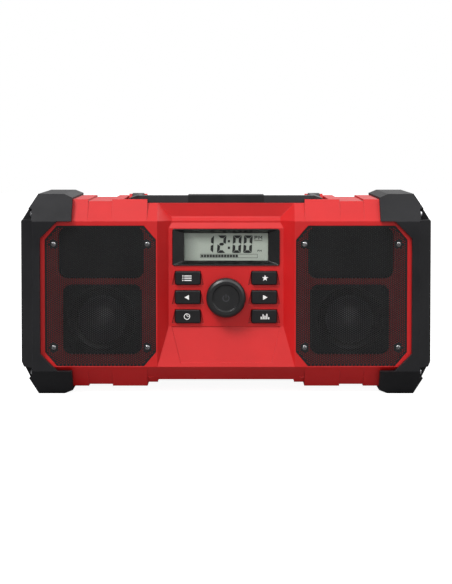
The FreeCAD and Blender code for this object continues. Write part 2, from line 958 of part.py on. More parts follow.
def add_front_bosses(body):
    reach = s.boss_front - s.seam_front
    posts = [("circle", spot, s.boss_radius) for spot in case_bosses()]
    sketch = new_sketch(body, "boss_outline", "XZ_Plane", posts, s.seam_front)
    boss = pad(body, "bosses", sketch, reach)
    bores = [("circle", spot, s.boss_bore) for spot in case_bosses()]
    sketch = new_sketch(body, "boss_bore_outline", "XZ_Plane", bores, s.seam_front)
    doc.recompute()
    bore = pocket(body, "boss_bores", sketch, reach - s.wall * 3, backward=True)
    mirror(body, "other_bosses", [boss, bore])
    board = [("circle", spot, s.post_radius) for spot in board_posts()]
    sketch = new_sketch(body, "board_post_outline", "XZ_Plane", board, s.board_front)
    pad(body, "board_posts", sketch, s.console_inner - s.board_front)


# Rear housing: the other half of the shell, with the battery bay and the socket compartment


def rear_section():
    return [
        (-s.seam_front, s.case_top),
        (s.case_rear - s.slope_run, s.case_top),
        (s.case_rear, s.face_top),
        (s.case_rear, s.face_bottom),
        (s.case_rear - s.slope_run, s.case_bottom),
        (-s.seam_front, s.case_bottom),
    ]


def rear_chamber_section():
    inner = s.case_rear - s.wall
    slope = s.slope_run
    return [
        (-s.seam_front, s.chamber_top),
        (inner - slope, s.chamber_top),
        (inner, s.face_top - s.slope_run),
        (inner, s.face_bottom + s.wall),
        (inner - slope, s.chamber_bottom),
        (-s.seam_front, s.chamber_bottom),
    ]


def rear_housing():
    body = new_body("rear_housing")
    shell = new_sketch(body, "shell_profile", "YZ_Plane", [rear_section()])
    pad(body, "shell", shell, s.case_half * 2, both=True)
    inner = s.partition_half + s.partition_wall
    hollow = new_sketch(body, "chamber_profile", "YZ_Plane", [rear_chamber_section()], inner)
    cut = pocket(body, "chamber", hollow, s.case_half - s.wall - inner, backward=True)
    channels = cut_channels(body, 1)
    mirror(body, "other_chamber", [cut, channels])
    bay_floor = s.case_rear - s.bay_depth
    room = [
        (-s.seam_front, s.centre_inner_bottom),
        (-s.seam_front, s.well_floor - s.wall),
        (bay_floor - s.bay_wall, s.well_floor - s.wall),
        (bay_floor - s.bay_wall, s.centre_inner_bottom),
    ]
    centre = new_sketch(body, "centre_room_profile", "YZ_Plane", [room])
    pocket(body, "centre_room", centre, s.partition_half * 2, both=True)
    cut_handle_tray(body, s.seam_front, -s.tray_rear, s.seam_front)
    cut_battery_bay(body, bay_floor)
    cut_nook(body)
    add_rear_bosses(body)
    add_ears(body)
    add_main_board_posts(body)
    cut_cap_screw_bores(body, 1)
    return body


def cut_battery_bay(body, bay_floor):
    mouth = ("rounded", (-s.bay_half, s.bay_low), (s.bay_half, s.bay_high), s.open_corner)
    sketch = new_sketch(body, "bay_mouth", "XZ_Plane", [mouth], -s.case_rear)
    pocket(body, "battery_bay", sketch, s.bay_depth, backward=True)
    rails = [
        [
            (s.rail_out - s.rail_lip, s.rail_low),
            (s.rail_out, s.rail_low),
            (s.rail_out, s.rail_high),
            (s.rail_out - s.rail_lip, s.rail_high),
        ]
    ]
    sketch = new_sketch(body, "rail_web_outline", "XZ_Plane", rails, -bay_floor)
    web = pad(body, "rail_web", sketch, s.rail_height, backward=True)
    lips = [
        [
            (s.rail_in, s.rail_low),
            (s.rail_out, s.rail_low),
            (s.rail_out, s.rail_high),
            (s.rail_in, s.rail_high),
        ]
    ]
    top = bay_floor + s.rail_height - s.rail_lip
    sketch = new_sketch(body, "rail_lip_outline", "XZ_Plane", lips, -top)
    lip = pad(body, "rail_lip", sketch, s.rail_lip, backward=True)
    mirror(body, "other_rail", [web, lip])


def cut_nook(body):
    """The compartment's own walls inside the shell, its mouth and the seat of its door."""
    wall = s.nook_wall
    outside = [
        (s.nook_in - wall, s.nook_low - wall),
        (s.nook_out + wall, s.nook_low - wall),
        (s.nook_out + wall, s.nook_high + wall),
        (s.nook_in - wall, s.nook_high + wall),
    ]
    sketch = new_sketch(body, "nook_wall_outline", "XZ_Plane", [outside], -s.case_rear)
    pad(body, "nook_walls", sketch, s.nook_depth + s.nook_back)
    inside = [
        (s.nook_in, s.nook_low),
        (s.nook_out, s.nook_low),
        (s.nook_out, s.nook_high),
        (s.nook_in, s.nook_high),
    ]
    sketch = new_sketch(body, "nook_outline", "XZ_Plane", [inside], -s.case_rear)
    pocket(body, "nook", sketch, s.nook_depth, backward=True)
    rim = s.door_rim
    seat = [
        (s.nook_in - rim, s.nook_low - rim),
        (s.nook_out + rim, s.nook_low - rim),
        (s.nook_out + rim, s.nook_high + rim),
        (s.nook_in - rim, s.nook_high + rim),
    ]
    sketch = new_sketch(body, "door_seat_outline", "XZ_Plane", [seat], -s.case_rear)
    pocket(body, "door_seat", sketch, s.door_thick + s.door_fit, backward=True)
    axis_y, axis_z = hinge_axis()
    room = s.hinge_barrel + s.door_fit
    groove = [
        (s.nook_in - rim, s.nook_low - rim),
        (s.nook_out + rim, s.nook_low - rim),
        (s.nook_out + rim, axis_z + room),
        (s.nook_in - rim, axis_z + room),
    ]
    sketch = new_sketch(body, "barrel_groove_outline", "XZ_Plane", [groove], -s.case_rear)
    pocket(body, "barrel_groove", sketch, s.case_rear - axis_y + room, backward=True)
    hole = ("circle", (axis_y, axis_z), s.hinge_pin + s.hinge_fit)
    start = s.nook_in - rim - s.hinge_hold
    sketch = new_sketch(body, "hinge_hole_outline", "YZ_Plane", [hole], start)
    length = s.nook_out - s.nook_in + rim * 2 + s.hinge_hold * 2
    pocket(body, "hinge_holes", sketch, length, backward=True)


def hinge_axis():
    """Depth and height of the line that the door turns on."""
    height = s.nook_low - s.door_rim + s.door_fit + s.hinge_barrel
    return s.case_rear - s.hinge_barrel, height


def add_rear_bosses(body):
    posts = [("circle", spot, s.boss_radius) for spot in case_bosses()]
    sketch = new_sketch(body, "boss_outline", "XZ_Plane", posts, s.seam_front)
    length = s.case_rear - s.slope_run + s.seam_front
    boss = pad(body, "bosses", sketch, length, backward=True)
    bores = [("circle", spot, s.boss_bore) for spot in case_bosses()]
    sketch = new_sketch(body, "boss_bore_outline", "XZ_Plane", bores, -s.case_rear)
    bore = pocket(body, "boss_bores", sketch, s.case_rear + s.seam_front, backward=True)
    heads = [("circle", spot, s.screw_head + s.grille_fit) for spot in case_bosses()]
    sketch = new_sketch(body, "screw_seat_outline", "XZ_Plane", heads, -s.case_rear)
    depth = s.slope_run + s.screw_sink
    seat = pocket(body, "screw_seats", sketch, depth, backward=True)
    mirror(body, "other_bosses", [boss, bore, seat])


def ear_spans():
    """Across the radio, the two upright ears that hold one handle pivot."""
    arm_in = s.handle_half - s.handle_arm
    inner = (arm_in - s.ear_gap - s.ear_wall, arm_in - s.ear_gap)
    outer = (s.handle_half + s.ear_gap, s.handle_half + s.ear_gap + s.ear_wall)
    return inner, outer


def eye_radius():
    return (s.handle_high - s.handle_low) / 2


def pivot_z():
    return s.handle_low + eye_radius()


def add_ears(body):
    tall = pivot_z()
    half = eye_radius() + s.pivot_clearance
    ears = []
    for index, (low, high) in enumerate(ear_spans()):
        outline = [
            (s.pivot_back - half - 1, s.tray_floor),
            (s.pivot_back + half + 1, s.tray_floor),
            (s.pivot_back + half, tall),
            (s.pivot_back + half / 2, tall + half - 1),
            (s.pivot_back - half / 2, tall + half - 1),
            (s.pivot_back - half, tall),
        ]
        name = "ear_" + str(index)
        sketch = new_sketch(body, name + "_outline", "YZ_Plane", [outline], low)
        ears.append(pad(body, name, sketch, high - low))
    hole = ("circle", (s.pivot_back, tall), s.pivot_bore / 2 + s.pivot_clearance)
    outer_high = ear_spans()[1][1]
    inner_low = ear_spans()[0][0]
    sketch = new_sketch(body, "pivot_hole_outline", "YZ_Plane", [hole], inner_low)
    bore = pocket(body, "pivot_holes", sketch, outer_high - inner_low, backward=True)
    mirror(body, "other_ears", ears + [bore])


# Rubber end caps with arms at the front and back, which are also the feet


def bumper(name, side):
    body = new_body("bumper_" + name)
    corner = s.bumper_half - s.bumper_corner_run
    outline = [
        (side * s.bumper_inner, s.arm_tip_drop),
        (side * (s.bumper_inner + s.arm_tip_run), 0),
        (side * corner, 0),
        (side * s.bumper_half, s.bumper_side_bottom),
        (side * s.bumper_half, s.bumper_side_top),
        (side * corner, s.bumper_top),
        (side * (s.bumper_inner + s.arm_tip_run), s.bumper_top),
        (side * s.bumper_inner, s.bumper_top - s.arm_tip_drop),
    ]
    sketch = new_sketch(body, "end_outline", "XZ_Plane", [outline])
    pad(body, "cap", sketch, s.bumper_front * 2, both=True)
    trim_bumper(body)
    hollow_bumper(body, side)
    cut_bumper_windows(body, side)
    cut_screw_slots(body, side)
    return body


def trim_bumper(body):
    """Takes the wedges off the long top and bottom edges at the front and the back."""
    front = s.bumper_front
    run = s.bumper_slope_run
    reach = s.wall * 10
    for end, facing in (("front", -1), ("rear", 1)):
        top = [
            (facing * front, s.window_top),
            (facing * (front + reach), s.window_top),
            (facing * (front + reach), s.bumper_top + reach),
            (facing * (front - run), s.bumper_top + reach),
            (facing * (front - run), s.bumper_top),
        ]
        low = [
            (facing * front, s.bumper_face_bottom),
            (facing * (front + reach), s.bumper_face_bottom),
            (facing * (front + reach), -reach),
            (facing * (front - run), -reach),
            (facing * (front - run), 0),
        ]
        for place_name, wedge in (("top", top), ("bottom", low)):
            name = end + "_" + place_name + "_wedge"
            sketch = new_sketch(body, name + "_outline", "YZ_Plane", [wedge])
            pocket(body, name, sketch, s.bumper_half * 2 + reach, both=True)
    side = 1 if body.Label.endswith("right") else -1
    facet = s.bumper_facet
    for end, facing in (("front", -1), ("rear", 1)):
        wedge = [
            (side * (s.bumper_half - facet), facing * front),
            (side * (s.bumper_half + reach), facing * front),
            (side * (s.bumper_half + reach), facing * (front - facet)),
            (side * s.bumper_half, facing * (front - facet)),
        ]
        name = end + "_end_wedge"
        sketch = new_sketch(body, name + "_outline", "XY_Plane", [wedge])
        pocket(body, name, sketch, s.bumper_top * 2 + reach, both=True)


def hollow_bumper(body, side):
    """The room that the end of the case fills."""
    run = s.slope_run
    outline = [
        (-s.case_front, s.face_bottom),
        (-s.case_front, s.face_top),
        (-(s.case_front - run), s.case_top),
        (s.case_rear - run, s.case_top),
        (s.case_rear, s.face_top),
        (s.case_rear, s.face_bottom),
        (s.case_rear - run, s.case_bottom),
        (-(s.case_front - run), s.case_bottom),
    ]
    sketch = new_sketch(body, "case_end_profile", "YZ_Plane", [outline], side * s.case_half)
    pocket(body, "case_room", sketch, s.case_half / 2, backward=side < 0)


def window_outline(side):
    inner = s.bumper_inner - s.wall
    corner = s.window_corner
    return [
        (side * inner, s.window_bottom),
        (side * (s.window_half - corner), s.window_bottom),
        (side * s.window_half, s.window_bottom + corner),
        (side * s.window_half, s.window_top - corner),
        (side * (s.window_half - corner), s.window_top),
        (side * inner, s.window_top),
    ]


def cut_bumper_windows(body, side):
    sketch = new_sketch(body, "window_outline", "XZ_Plane", [window_outline(side)])
    pocket(body, "windows", sketch, s.bumper_front * 2 + s.wall, both=True)


def cap_screw_spots():
    """Where the cap's screws enter the end of the case, as depth and height."""
    depth = s.cap_screw_depth
    return [(y, z) for y in (-depth, depth) for z in (s.cap_screw_low, s.cap_screw_high)]


def cut_screw_slots(body, side):
    """Open notches at the corners, with the seats and holes of the screws that hold the cap."""
    seat = s.cap_screw_seat
    reach = s.bumper_half - seat + s.wall
    near_edge = s.cap_screw_depth - s.screw_head - s.grille_fit
    far_edge = s.bumper_front + s.wall
    notches = []
    for facing in (-1, 1):
        for height in (s.cap_screw_low, s.cap_screw_high):
            notches.append(
                [
                    (facing * near_edge, height - s.slot_half),
                    (facing * far_edge, height - s.slot_half),
                    (facing * far_edge, height + s.slot_half),
                    (facing * near_edge, height + s.slot_half),
                ]
            )
    sketch = new_sketch(body, "slot_outline", "YZ_Plane", notches, side * seat)
    pocket(body, "slots", sketch, reach, backward=side > 0)
    holes = [("circle", spot, s.screw_shank) for spot in cap_screw_spots()]
    sketch = new_sketch(body, "screw_hole_outline", "YZ_Plane", holes, side * s.case_half)
    pocket(body, "screw_holes", sketch, seat - s.case_half, backward=side > 0)


def cut_cap_screw_bores(body, facing):
    """Holes in the end of the case for the screws of the rubber caps."""
    spots = [
        ("circle", (facing * s.cap_screw_depth, height), s.screw_shank)
        for height in (s.cap_screw_low, s.cap_screw_high)
    ]
    start = s.case_half - s.cap_screw_grip
    sketch = new_sketch(body, "cap_bore_outline", "YZ_Plane", spots, start)
    bore = pocket(body, "cap_screw_bores", sketch, s.cap_screw_grip, backward=True)
    mirror(body, "other_cap_bores", [bore])


# Grilles, as octagonal steel sheets that lie in shallow seats


def grille(name, side):
    body = new_body("grille_" + name)
    fit = s.grille_fit
    outer = octagon(
        s.grille_in + fit,
        s.grille_out - fit,
        s.grille_low + fit,
        s.grille_high - fit,
        s.grille_cut_across,
        s.grille_cut_up,
    )
    outline = [(side * x, z) for x, z in outer]
    front = s.case_front - s.grille_sink
    sketch = new_sketch(body, "sheet_outline", "XZ_Plane", [outline], front)
    pad(body, "sheet", sketch, s.grille_sheet)
    holes = [("circle", (side * x, z), s.screw_shank + fit) for x, z in grille_screws()]
    sketch = new_sketch(body, "hole_outline", "XZ_Plane", holes, front + s.grille_sheet)
    pocket(body, "screw_holes", sketch, s.grille_sheet * 2)
    return body


# Baffle behind each grille: it closes the upper opening with a sunk chamber and holds the driver


def baffle(name, side):
    body = new_body("baffle_" + name)
    front = s.chamber_front
    plate = [
        (side * s.baffle_in, s.baffle_low),
        (side * s.baffle_out, s.baffle_low),
        (side * s.baffle_out, s.baffle_high - s.wall),
        (side * s.baffle_in, s.baffle_high - s.wall),
    ]
    sketch = new_sketch(body, "plate_outline", "XZ_Plane", [plate], front)
    pad(body, "plate", sketch, s.baffle_plate, backward=True)
    wall = s.port_wall
    ends = (side * (s.port_in - wall), side * (s.port_out + wall))
    low, high = (ends[0], ends[1]) if side > 0 else (ends[1], ends[0])
    box = (
        "rounded",
        (low, s.port_low - wall),
        (high, s.port_high - s.wall + wall),
        s.open_corner + wall,
    )
    sketch = new_sketch(body, "chamber_outline", "XZ_Plane", [box], front)
    pad(body, "chamber", sketch, s.port_depth, backward=True)
    inner = (
        "rounded",
        (low + wall, s.port_low),
        (high - wall, s.port_high - s.wall),
        s.open_corner,
    )
    sketch = new_sketch(body, "hollow_outline", "XZ_Plane", [inner], front)
    pocket(body, "chamber_hollow", sketch, s.port_depth - wall)
    hole = ("circle", (side * s.driver_x, s.driver_z), s.driver_hole + s.grille_fit)
    sketch = new_sketch(body, "driver_hole_outline", "XZ_Plane", [hole], front)
    pocket(body, "driver_hole", sketch, s.baffle_plate)
    screws = [("circle", (side * x, z), s.screw_shank) for x, z in grille_screws()]
    screws += [
        ("circle", (side * s.driver_x + x, s.driver_z + z), s.screw_shank)
        for x, z in driver_screws()
    ]
    sketch = new_sketch(body, "screw_outline", "XZ_Plane", screws, front)
    pocket(body, "screw_bores", sketch, s.baffle_plate)
    return body


def driver_screws():
    across = (-s.driver_screw_x, s.driver_screw_x)
    return [(x, z) for x in across for z in (-s.driver_screw_z, s.driver_screw_z)]


# Loudspeaker driver, each piece about its own axis, which then points to the front


def driver_place(body, side):
    place(body, side * s.driver_x, -s.chamber_front, s.driver_z, TO_FRONT)


def speaker_frame(name, side):
    body = new_body("speaker_frame_" + name)
    wide, tall = s.driver_wide / 2, s.driver_tall / 2
    plate = ("rounded", (-wide, -tall), (wide, tall), s.open_corner)
    sketch = new_sketch(body, "flange_outline", "XY_Plane", [plate])
    pad(body, "flange", sketch, s.driver_flange)
    hole = s.driver_hole
    skin = s.basket_skin
    outline = [
        (hole - skin, 0),
        (hole, 0),
        (s.basket_foot, -s.basket_depth),
        (s.basket_foot - skin * 8, -s.basket_depth),
        (s.basket_foot - skin * 8, -s.basket_depth + skin),
        (s.basket_foot - skin, -s.basket_depth + skin),
    ]
    sketch = new_sketch(body, "basket_outline", "XZ_Plane", [outline])
    basket = body.newObject("PartDesign::Revolution", "basket")
    basket.Profile = sketch
    basket.ReferenceAxis = (sketch, ["V_Axis"])
    basket.Angle = 360
    mouth = ("circle", (0, 0), hole - skin)
    sketch = new_sketch(body, "mouth_outline", "XY_Plane", [mouth], s.driver_flange)
    pocket(body, "mouth", sketch, s.driver_flange)
    holes = [("circle", spot, s.screw_shank + s.grille_fit) for spot in driver_screws()]
    sketch = new_sketch(body, "screw_outline", "XY_Plane", holes, s.driver_flange)
    pocket(body, "screw_holes", sketch, s.driver_flange)
    half = s.basket_foot / 2
    slot = [
        (-half, -s.basket_depth + skin * 2),
        (half, -s.basket_depth + skin * 2),
        (half, -skin * 3),
        (-half, -skin * 3),
    ]
    sketch = new_sketch(body, "slot_outline", "XZ_Plane", [slot])
    windows = pocket(body, "windows", sketch, hole * 2, both=True)
    repeat_round(body, "window_ring", [windows], "Z_Axis", 4)
    driver_place(body, side)


def speaker_magnet(name, side):
    top = -s.basket_depth
    pole = s.cone_throat - s.wall
    outline = [
        (0, top - s.magnet_height),
        (s.magnet_radius - s.wall, top - s.magnet_height),
        (s.magnet_radius - s.wall, top - s.magnet_height + s.wall),
        (s.magnet_radius, top - s.magnet_height + s.wall),
        (s.magnet_radius, top - s.wall),
        (s.magnet_radius - s.wall, top - s.wall),
        (s.magnet_radius - s.wall, top),
        (pole + s.wall, top),
        (pole + s.wall, top - s.wall),
        (pole, top - s.wall),
        (pole, top + s.wall),
        (0, top + s.wall),
    ]
    driver_place(turned("speaker_magnet_" + name, "magnet", outline), side)


def speaker_surround(name, side):
    """The rubber roll between the frame and the cone."""
    base = s.driver_flange
    skin = s.surround_skin
    rise = s.surround_rise
    outline = [
        (s.surround_in - 2, base),
        (s.surround_in, base),
        (s.surround_in + 1, base + rise - skin),
        (s.surround_mid, base + rise),
        (s.surround_out - 3.2, base + rise - skin),
        (s.surround_out - 2.2, base),
        (s.surround_out + 1.2, base),
        (s.surround_out + 1.2, base + skin),
        (s.surround_out - 1.6, base + skin),
        (s.surround_out - 2.8, base + rise),
        (s.surround_mid, base + rise + skin),
        (s.surround_in + 0.4, base + rise),
        (s.surround_in - 0.8, base + skin),
        (s.surround_in - 2, base + skin),
    ]
    driver_place(turned("speaker_surround_" + name, "roll", outline), side)


def speaker_cone(name, side):
    base = s.driver_flange
    skin = s.cone_skin
    throat = s.cone_throat
    low = base - s.cone_depth
    outline = [
        (throat, low),
        (s.surround_in - 1.5, base - skin),
        (s.surround_in + 0.6, base - skin),
        (s.surround_in + 0.6, base),
        (s.surround_in - 1.8, base),
        (throat + skin, low + skin * 1.6),
        (throat, low + skin * 1.6),
    ]
    driver_place(turned("speaker_cone_" + name, "cone", outline), side)


def voice_coil(name, side):
    """The thin tube that joins the cone to the magnet's gap."""
    throat = s.cone_throat
    low = s.driver_flange - s.cone_depth
    gap_low = -s.basket_depth - s.wall / 2
    outline = [
        (throat - s.wall / 2 - 0.6, gap_low),
        (throat - s.wall / 2, gap_low),
        (throat - s.wall / 2, low - 0.6),
        (throat + 0.6, low - 0.6),
        (throat + 0.6, low),
        (throat - s.wall / 2 - 0.6, low),
    ]
    driver_place(turned("voice_coil_" + name, "former", outline), side)


def dust_cap(name, side):
    """A domed cap glued over the cone's throat."""
    low = s.driver_flange - s.cone_depth + s.cone_skin * 1.6
    radius = s.dome_radius
    rise = s.dome_rise
    outline = [
        (0, low + rise - s.cone_skin),
        (radius * 0.5, low + rise * 0.82 - s.cone_skin),
        (radius * 0.8, low + rise * 0.5 - s.cone_skin),
        (radius - s.cone_skin, low),
        (radius, low),
        (radius * 0.84, low + rise * 0.5),
        (radius * 0.54, low + rise * 0.84),
        (0, low + rise),
    ]
    driver_place(turned("dust_cap_" + name, "dome", outline), side)


# Display: a bezel with a bevelled mouth, a clear window, the glass cell and its light box


def display_bezel():
    body = new_body("display_bezel")
    front = s.console_front + s.bezel_proud
    back = s.console_front - s.bezel_sink
    fit = s.collar_fit
    low = (-(s.bezel_half - fit), s.bezel_low + fit)
    high = (s.bezel_half - fit, s.bezel_high - fit)
    rim = ("rounded", low, high, s.key_corner)
    sketch = new_sketch(body, "rim_outline", "XZ_Plane", [rim], back)
    pad(body, "rim", sketch, front - back)
    inset = s.collar_inset
    collar = [
        (-(s.bezel_half - inset), s.bezel_low + inset),
        (s.bezel_half - inset, s.bezel_low + inset),
        (s.bezel_half - inset, s.bezel_high - inset),
        (-(s.bezel_half - inset), s.bezel_high - inset),
    ]
    sketch = new_sketch(body, "collar_outline", "XZ_Plane", [collar], back)
    pad(body, "collar", sketch, s.collar_depth, backward=True)
    seat = new_sketch(body, "glass_seat", "XZ_Plane", [glass_outline(0)], back - s.collar_depth)
    depth = s.collar_depth + s.bezel_sink + s.bezel_proud - s.bezel_lip
    pocket(body, "glass_room", seat, depth, backward=True)
    mouth = new_sketch(body, "mouth_front", "XZ_Plane", [mouth_outline()], front)
    throat = new_sketch(body, "mouth_back", "XZ_Plane", [display_view()], front - s.bezel_lip)
    loft(body, "SubtractiveLoft", "mouth", mouth, throat)
    return body


def upright_box(half, low, high):
    return [(-half, low), (half, low), (half, high), (-half, high)]


def mouth_outline():
    """The wide front of the funnel that leads in to the display."""
    brim = s.bezel_brim
    return upright_box(s.bezel_half - brim, s.bezel_low + brim, s.bezel_high - brim)


def display_view():
    """The part of the display that shows."""
    half = s.bezel_half - s.bezel_side
    return upright_box(half, s.bezel_low + s.bezel_low_rim, s.bezel_high - s.bezel_high_rim)


def glass_outline(shrink):
    half = s.bezel_half - s.bezel_side + s.window_lap - shrink
    low = s.bezel_low + s.bezel_low_rim - s.glass_lap + shrink
    high = s.bezel_high - s.bezel_high_rim + s.glass_lap - shrink
    return upright_box(half, low, high)


def display_layer(label, front, thick):
    body = new_body(label)
    sketch = new_sketch(body, "sheet_outline", "XZ_Plane", [glass_outline(s.collar_fit)], front)
    pad(body, "sheet", sketch, thick, backward=True)
    return body


def display_stack():
    front = s.console_front + s.bezel_proud - s.bezel_lip
    glass = front - s.window_thick
    light = glass - s.lcd_thick
    display_layer("display_window", front, s.window_thick)
    display_layer("lcd_panel", glass, s.lcd_thick)
    display_layer("display_light_box", light, light - s.board_front)


# Keys: caps in their holes, each held behind the console by a flange


def key(label, x, z):
    body = new_body(label)
    flange_front = s.console_inner - s.key_seat_gap
    foot = key_outline(x, z, s.key_flange_lap, s.key_corner)
    sketch = new_sketch(body, "flange_outline", "XZ_Plane", [foot], flange_front)
    pad(body, "flange", sketch, s.key_flange, backward=True)
    cap = key_outline(x, z, 0, s.key_corner)
    sketch = new_sketch(body, "cap_outline", "XZ_Plane", [cap], flange_front)
    pad(body, "cap", sketch, s.console_front + s.key_proud - flange_front)
    front = as_dim(s.console_front + s.key_proud).value

    def front_rim(edge):
        return near(edge.CenterOfMass.y, -front)

    chamfer(body, "cap_edge", front_rim, s.key_edge)
    return body


def key_mat():
    """One silicone sheet with a raised dome behind each key."""
    body = new_body("key_mat")
    front = s.board_front + s.mat_thick
    low = s.key_top_z - s.key_pitch * 2 - s.key_tall / 2 - s.wall
    high = s.key_top_z + s.key_tall / 2 + s.wall
    sheet = [(-s.mat_half, low), (s.mat_half, low), (s.mat_half, high), (-s.mat_half, high)]
    hole = ("circle", (0, s.knob_z), s.coder_half * 1.6)
    sketch = new_sketch(body, "sheet_outline", "XZ_Plane", [sheet, hole], s.board_front)
    pad(body, "sheet", sketch, s.mat_thick)
    domes = [
        key_outline(x, z, -s.key_flange_lap * 2, s.key_corner)
        for x in (-s.key_x, s.key_x)
        for z in key_rows()
    ]
    sketch = new_sketch(body, "dome_outline", "XZ_Plane", domes, front)
    pad(body, "domes", sketch, s.dome_stand)
    return body


def control_board():
    body = new_body("control_board")
    half = s.board_half
    low, high = s.board_low, s.board_high
    board = [(-half, low), (half, low), (half, high), (-half, high)]
    sketch = new_sketch(body, "board_outline", "XZ_Plane", [board], s.board_front)
    pad(body, "board", sketch, s.board_thick, backward=True)
    return body


# Push-and-turn control


def encoder_body():
    """A square can on the board with a round bushing that carries the shaft."""
    body = new_body("encoder_body")
    half = s.coder_half
    front = s.console_inner - s.key_seat_gap
    can = [
        (-half, s.knob_z - half),
        (half, s.knob_z - half),
        (half, s.knob_z + half),
        (-half, s.knob_z + half),
    ]
    sketch = new_sketch(body, "can_outline", "XZ_Plane", [can], s.board_front)
    pad(body, "can", sketch, front - s.board_front)
    neck = ("circle", (0, s.knob_z), s.bushing_radius)
    sketch = new_sketch(body, "bushing_outline", "XZ_Plane", [neck], front)
    pad(body, "bushing", sketch, s.bushing_front - front)
    bore = ("circle", (0, s.knob_z), s.shaft_radius + s.shaft_fit)
    sketch = new_sketch(body, "bore_outline", "XZ_Plane", [bore], s.bushing_front)
    pocket(body, "shaft_bore", sketch, s.bushing_front - plunger_front() + s.push_travel + 0.4)
    room = ("circle", (0, s.knob_z), s.plunger_radius + s.shaft_fit)
    sketch = new_sketch(body, "plunger_outline", "XZ_Plane", [room], s.bushing_front)
    pocket(body, "plunger_bore", sketch, s.bushing_front - s.board_front)
    return body


def plunger_front():
    return s.board_front + s.push_travel + s.wall


def encoder_plunger():
    height = s.wall - 0.3
    outline = [(0, 0), (s.plunger_radius, 0), (s.plunger_radius, height), (0, height)]
    body = turned("encoder_plunger", "plunger", outline)
    place(body, 0, -(s.board_front + s.push_travel + 0.3), s.knob_z, TO_FRONT)


def encoder_shaft():
    length = s.shaft_front - plunger_front()
    radius = s.shaft_radius
    outline = [(0, 0), (radius, 0), (radius, length - 0.5), (radius - 0.5, length), (0, length)]
    body = turned("encoder_shaft", "shaft", outline)
    place(body, 0, -plunger_front(), s.knob_z, TO_FRONT)


def tuning_knob():
    """A hollow moulded knob with a sunk dish and a hub that grips the shaft."""
    high = s.knob_proud - s.knob_back
    radius = s.knob_radius
    dish = s.knob_dish
    skin = s.knob_skin
    hub = s.knob_hub
    bore = s.shaft_radius + s.shaft_fit
    bore_end = s.shaft_front - s.knob_back
    outline = [
        (radius - skin, 0),
        (radius, 0),
        (radius, high - 3.2),
        (radius - 1.0, high - 1.2),
        (radius - 3.0, high),
        (dish + 1.0, high),
        (dish, high - s.knob_dish_sink),
        (0, high - s.knob_dish_sink),
        (0, bore_end),
        (bore, bore_end),
        (bore, 0.5),
        (hub, 0.5),
        (hub, high - s.knob_dish_sink - skin),
        (radius - skin, high - s.knob_dish_sink - skin),
    ]
    body = turned("tuning_knob", "knob", outline)
    place(body, 0, -s.knob_back, s.knob_z, TO_FRONT)
    return body


# Handle: a bail with its grip sleeve, on two pins


def handle_frame():
    body = new_body("handle_frame")
    half = s.handle_half
    front = s.handle_front
    corner = s.handle_corner
    inner = half - s.handle_arm
    back = s.pivot_back
    outline = [
        (-half, -(front - corner)),
        (-(half - corner), -front),
        (half - corner, -front),
        (half, -(front - corner)),
        (half, back),
        (inner, back),
        (inner, -(front - s.handle_bar - corner / 2)),
        (inner - corner / 2, -(front - s.handle_bar)),
        (-(inner - corner / 2), -(front - s.handle_bar)),
        (-inner, -(front - s.handle_bar - corner / 2)),
        (-inner, back),
        (-half, back),
    ]
    sketch = new_sketch(body, "bail_outline", "XY_Plane", [outline], s.handle_low)
    pad(body, "bail", sketch, s.handle_high - s.handle_low)
    slants = []
    for side in (-1, 1):
        slants.append(
            [
                (side * (half + 1), s.handle_high - s.handle_slant_drop),
                (side * (half + 1), s.handle_high + 1),
                (side * (half - s.handle_slant), s.handle_high + 1),
                (side * (half - s.handle_slant), s.handle_high),
                (side * half, s.handle_high - s.handle_slant_drop),
            ]
        )
    sketch = new_sketch(body, "slant_outline", "XZ_Plane", slants)
    pocket(body, "slanted_ends", sketch, s.case_front * 3, both=True)
    eyes = new_sketch(
        body, "eye_outline", "YZ_Plane", [("circle", (back, pivot_z()), eye_radius())], inner
    )
    eye = pad(body, "eye", eyes, s.handle_arm)
    mirror(body, "other_eye", [eye])
    hole = ("circle", (back, pivot_z()), s.pivot_bore / 2 + s.pivot_clearance)
    sketch = new_sketch(body, "pin_bore_outline", "YZ_Plane", [hole])
    pocket(body, "pin_bore", sketch, s.handle_half * 3, both=True)
    seat = s.grip_skin
    groove = [
        (-s.grip_half, -(front + 1)),
        (s.grip_half, -(front + 1)),
        (s.grip_half, -(front - s.handle_bar - 1)),
        (-s.grip_half, -(front - s.handle_bar - 1)),
    ]
    sketch = new_sketch(body, "grip_top_outline", "XY_Plane", [groove], s.handle_high)
    pocket(body, "grip_top_seat", sketch, seat)
    return body


def handle_grip():
    """The soft sleeve over the middle of the bar: two pads joined round its back and front."""
    body = new_body("handle_grip")
    front = s.handle_front
    skin = s.grip_skin
    high = s.handle_high - skin
    rear = front - s.handle_bar
    outline = [
        (-(front + 0.5), s.handle_low - 0.5),
        (-(front + 0.5), high + skin),
        (-(front - 1.5), high + skin * 2),
        (-(rear + 1.5), high + skin * 2),
        (-(rear - skin), high + skin),
        (-(rear - skin), s.handle_low - 0.5),
    ]
    hollow = [
        (-front, s.handle_low),
        (-front, high),
        (-rear, high),
        (-rear, s.handle_low),
    ]
    sketch = new_sketch(body, "sleeve_outline", "YZ_Plane", [outline, hollow])
    pad(body, "sleeve", sketch, s.grip_half * 2, both=True)
    return body


# Socket compartment: its door on a pin, and the sockets inside


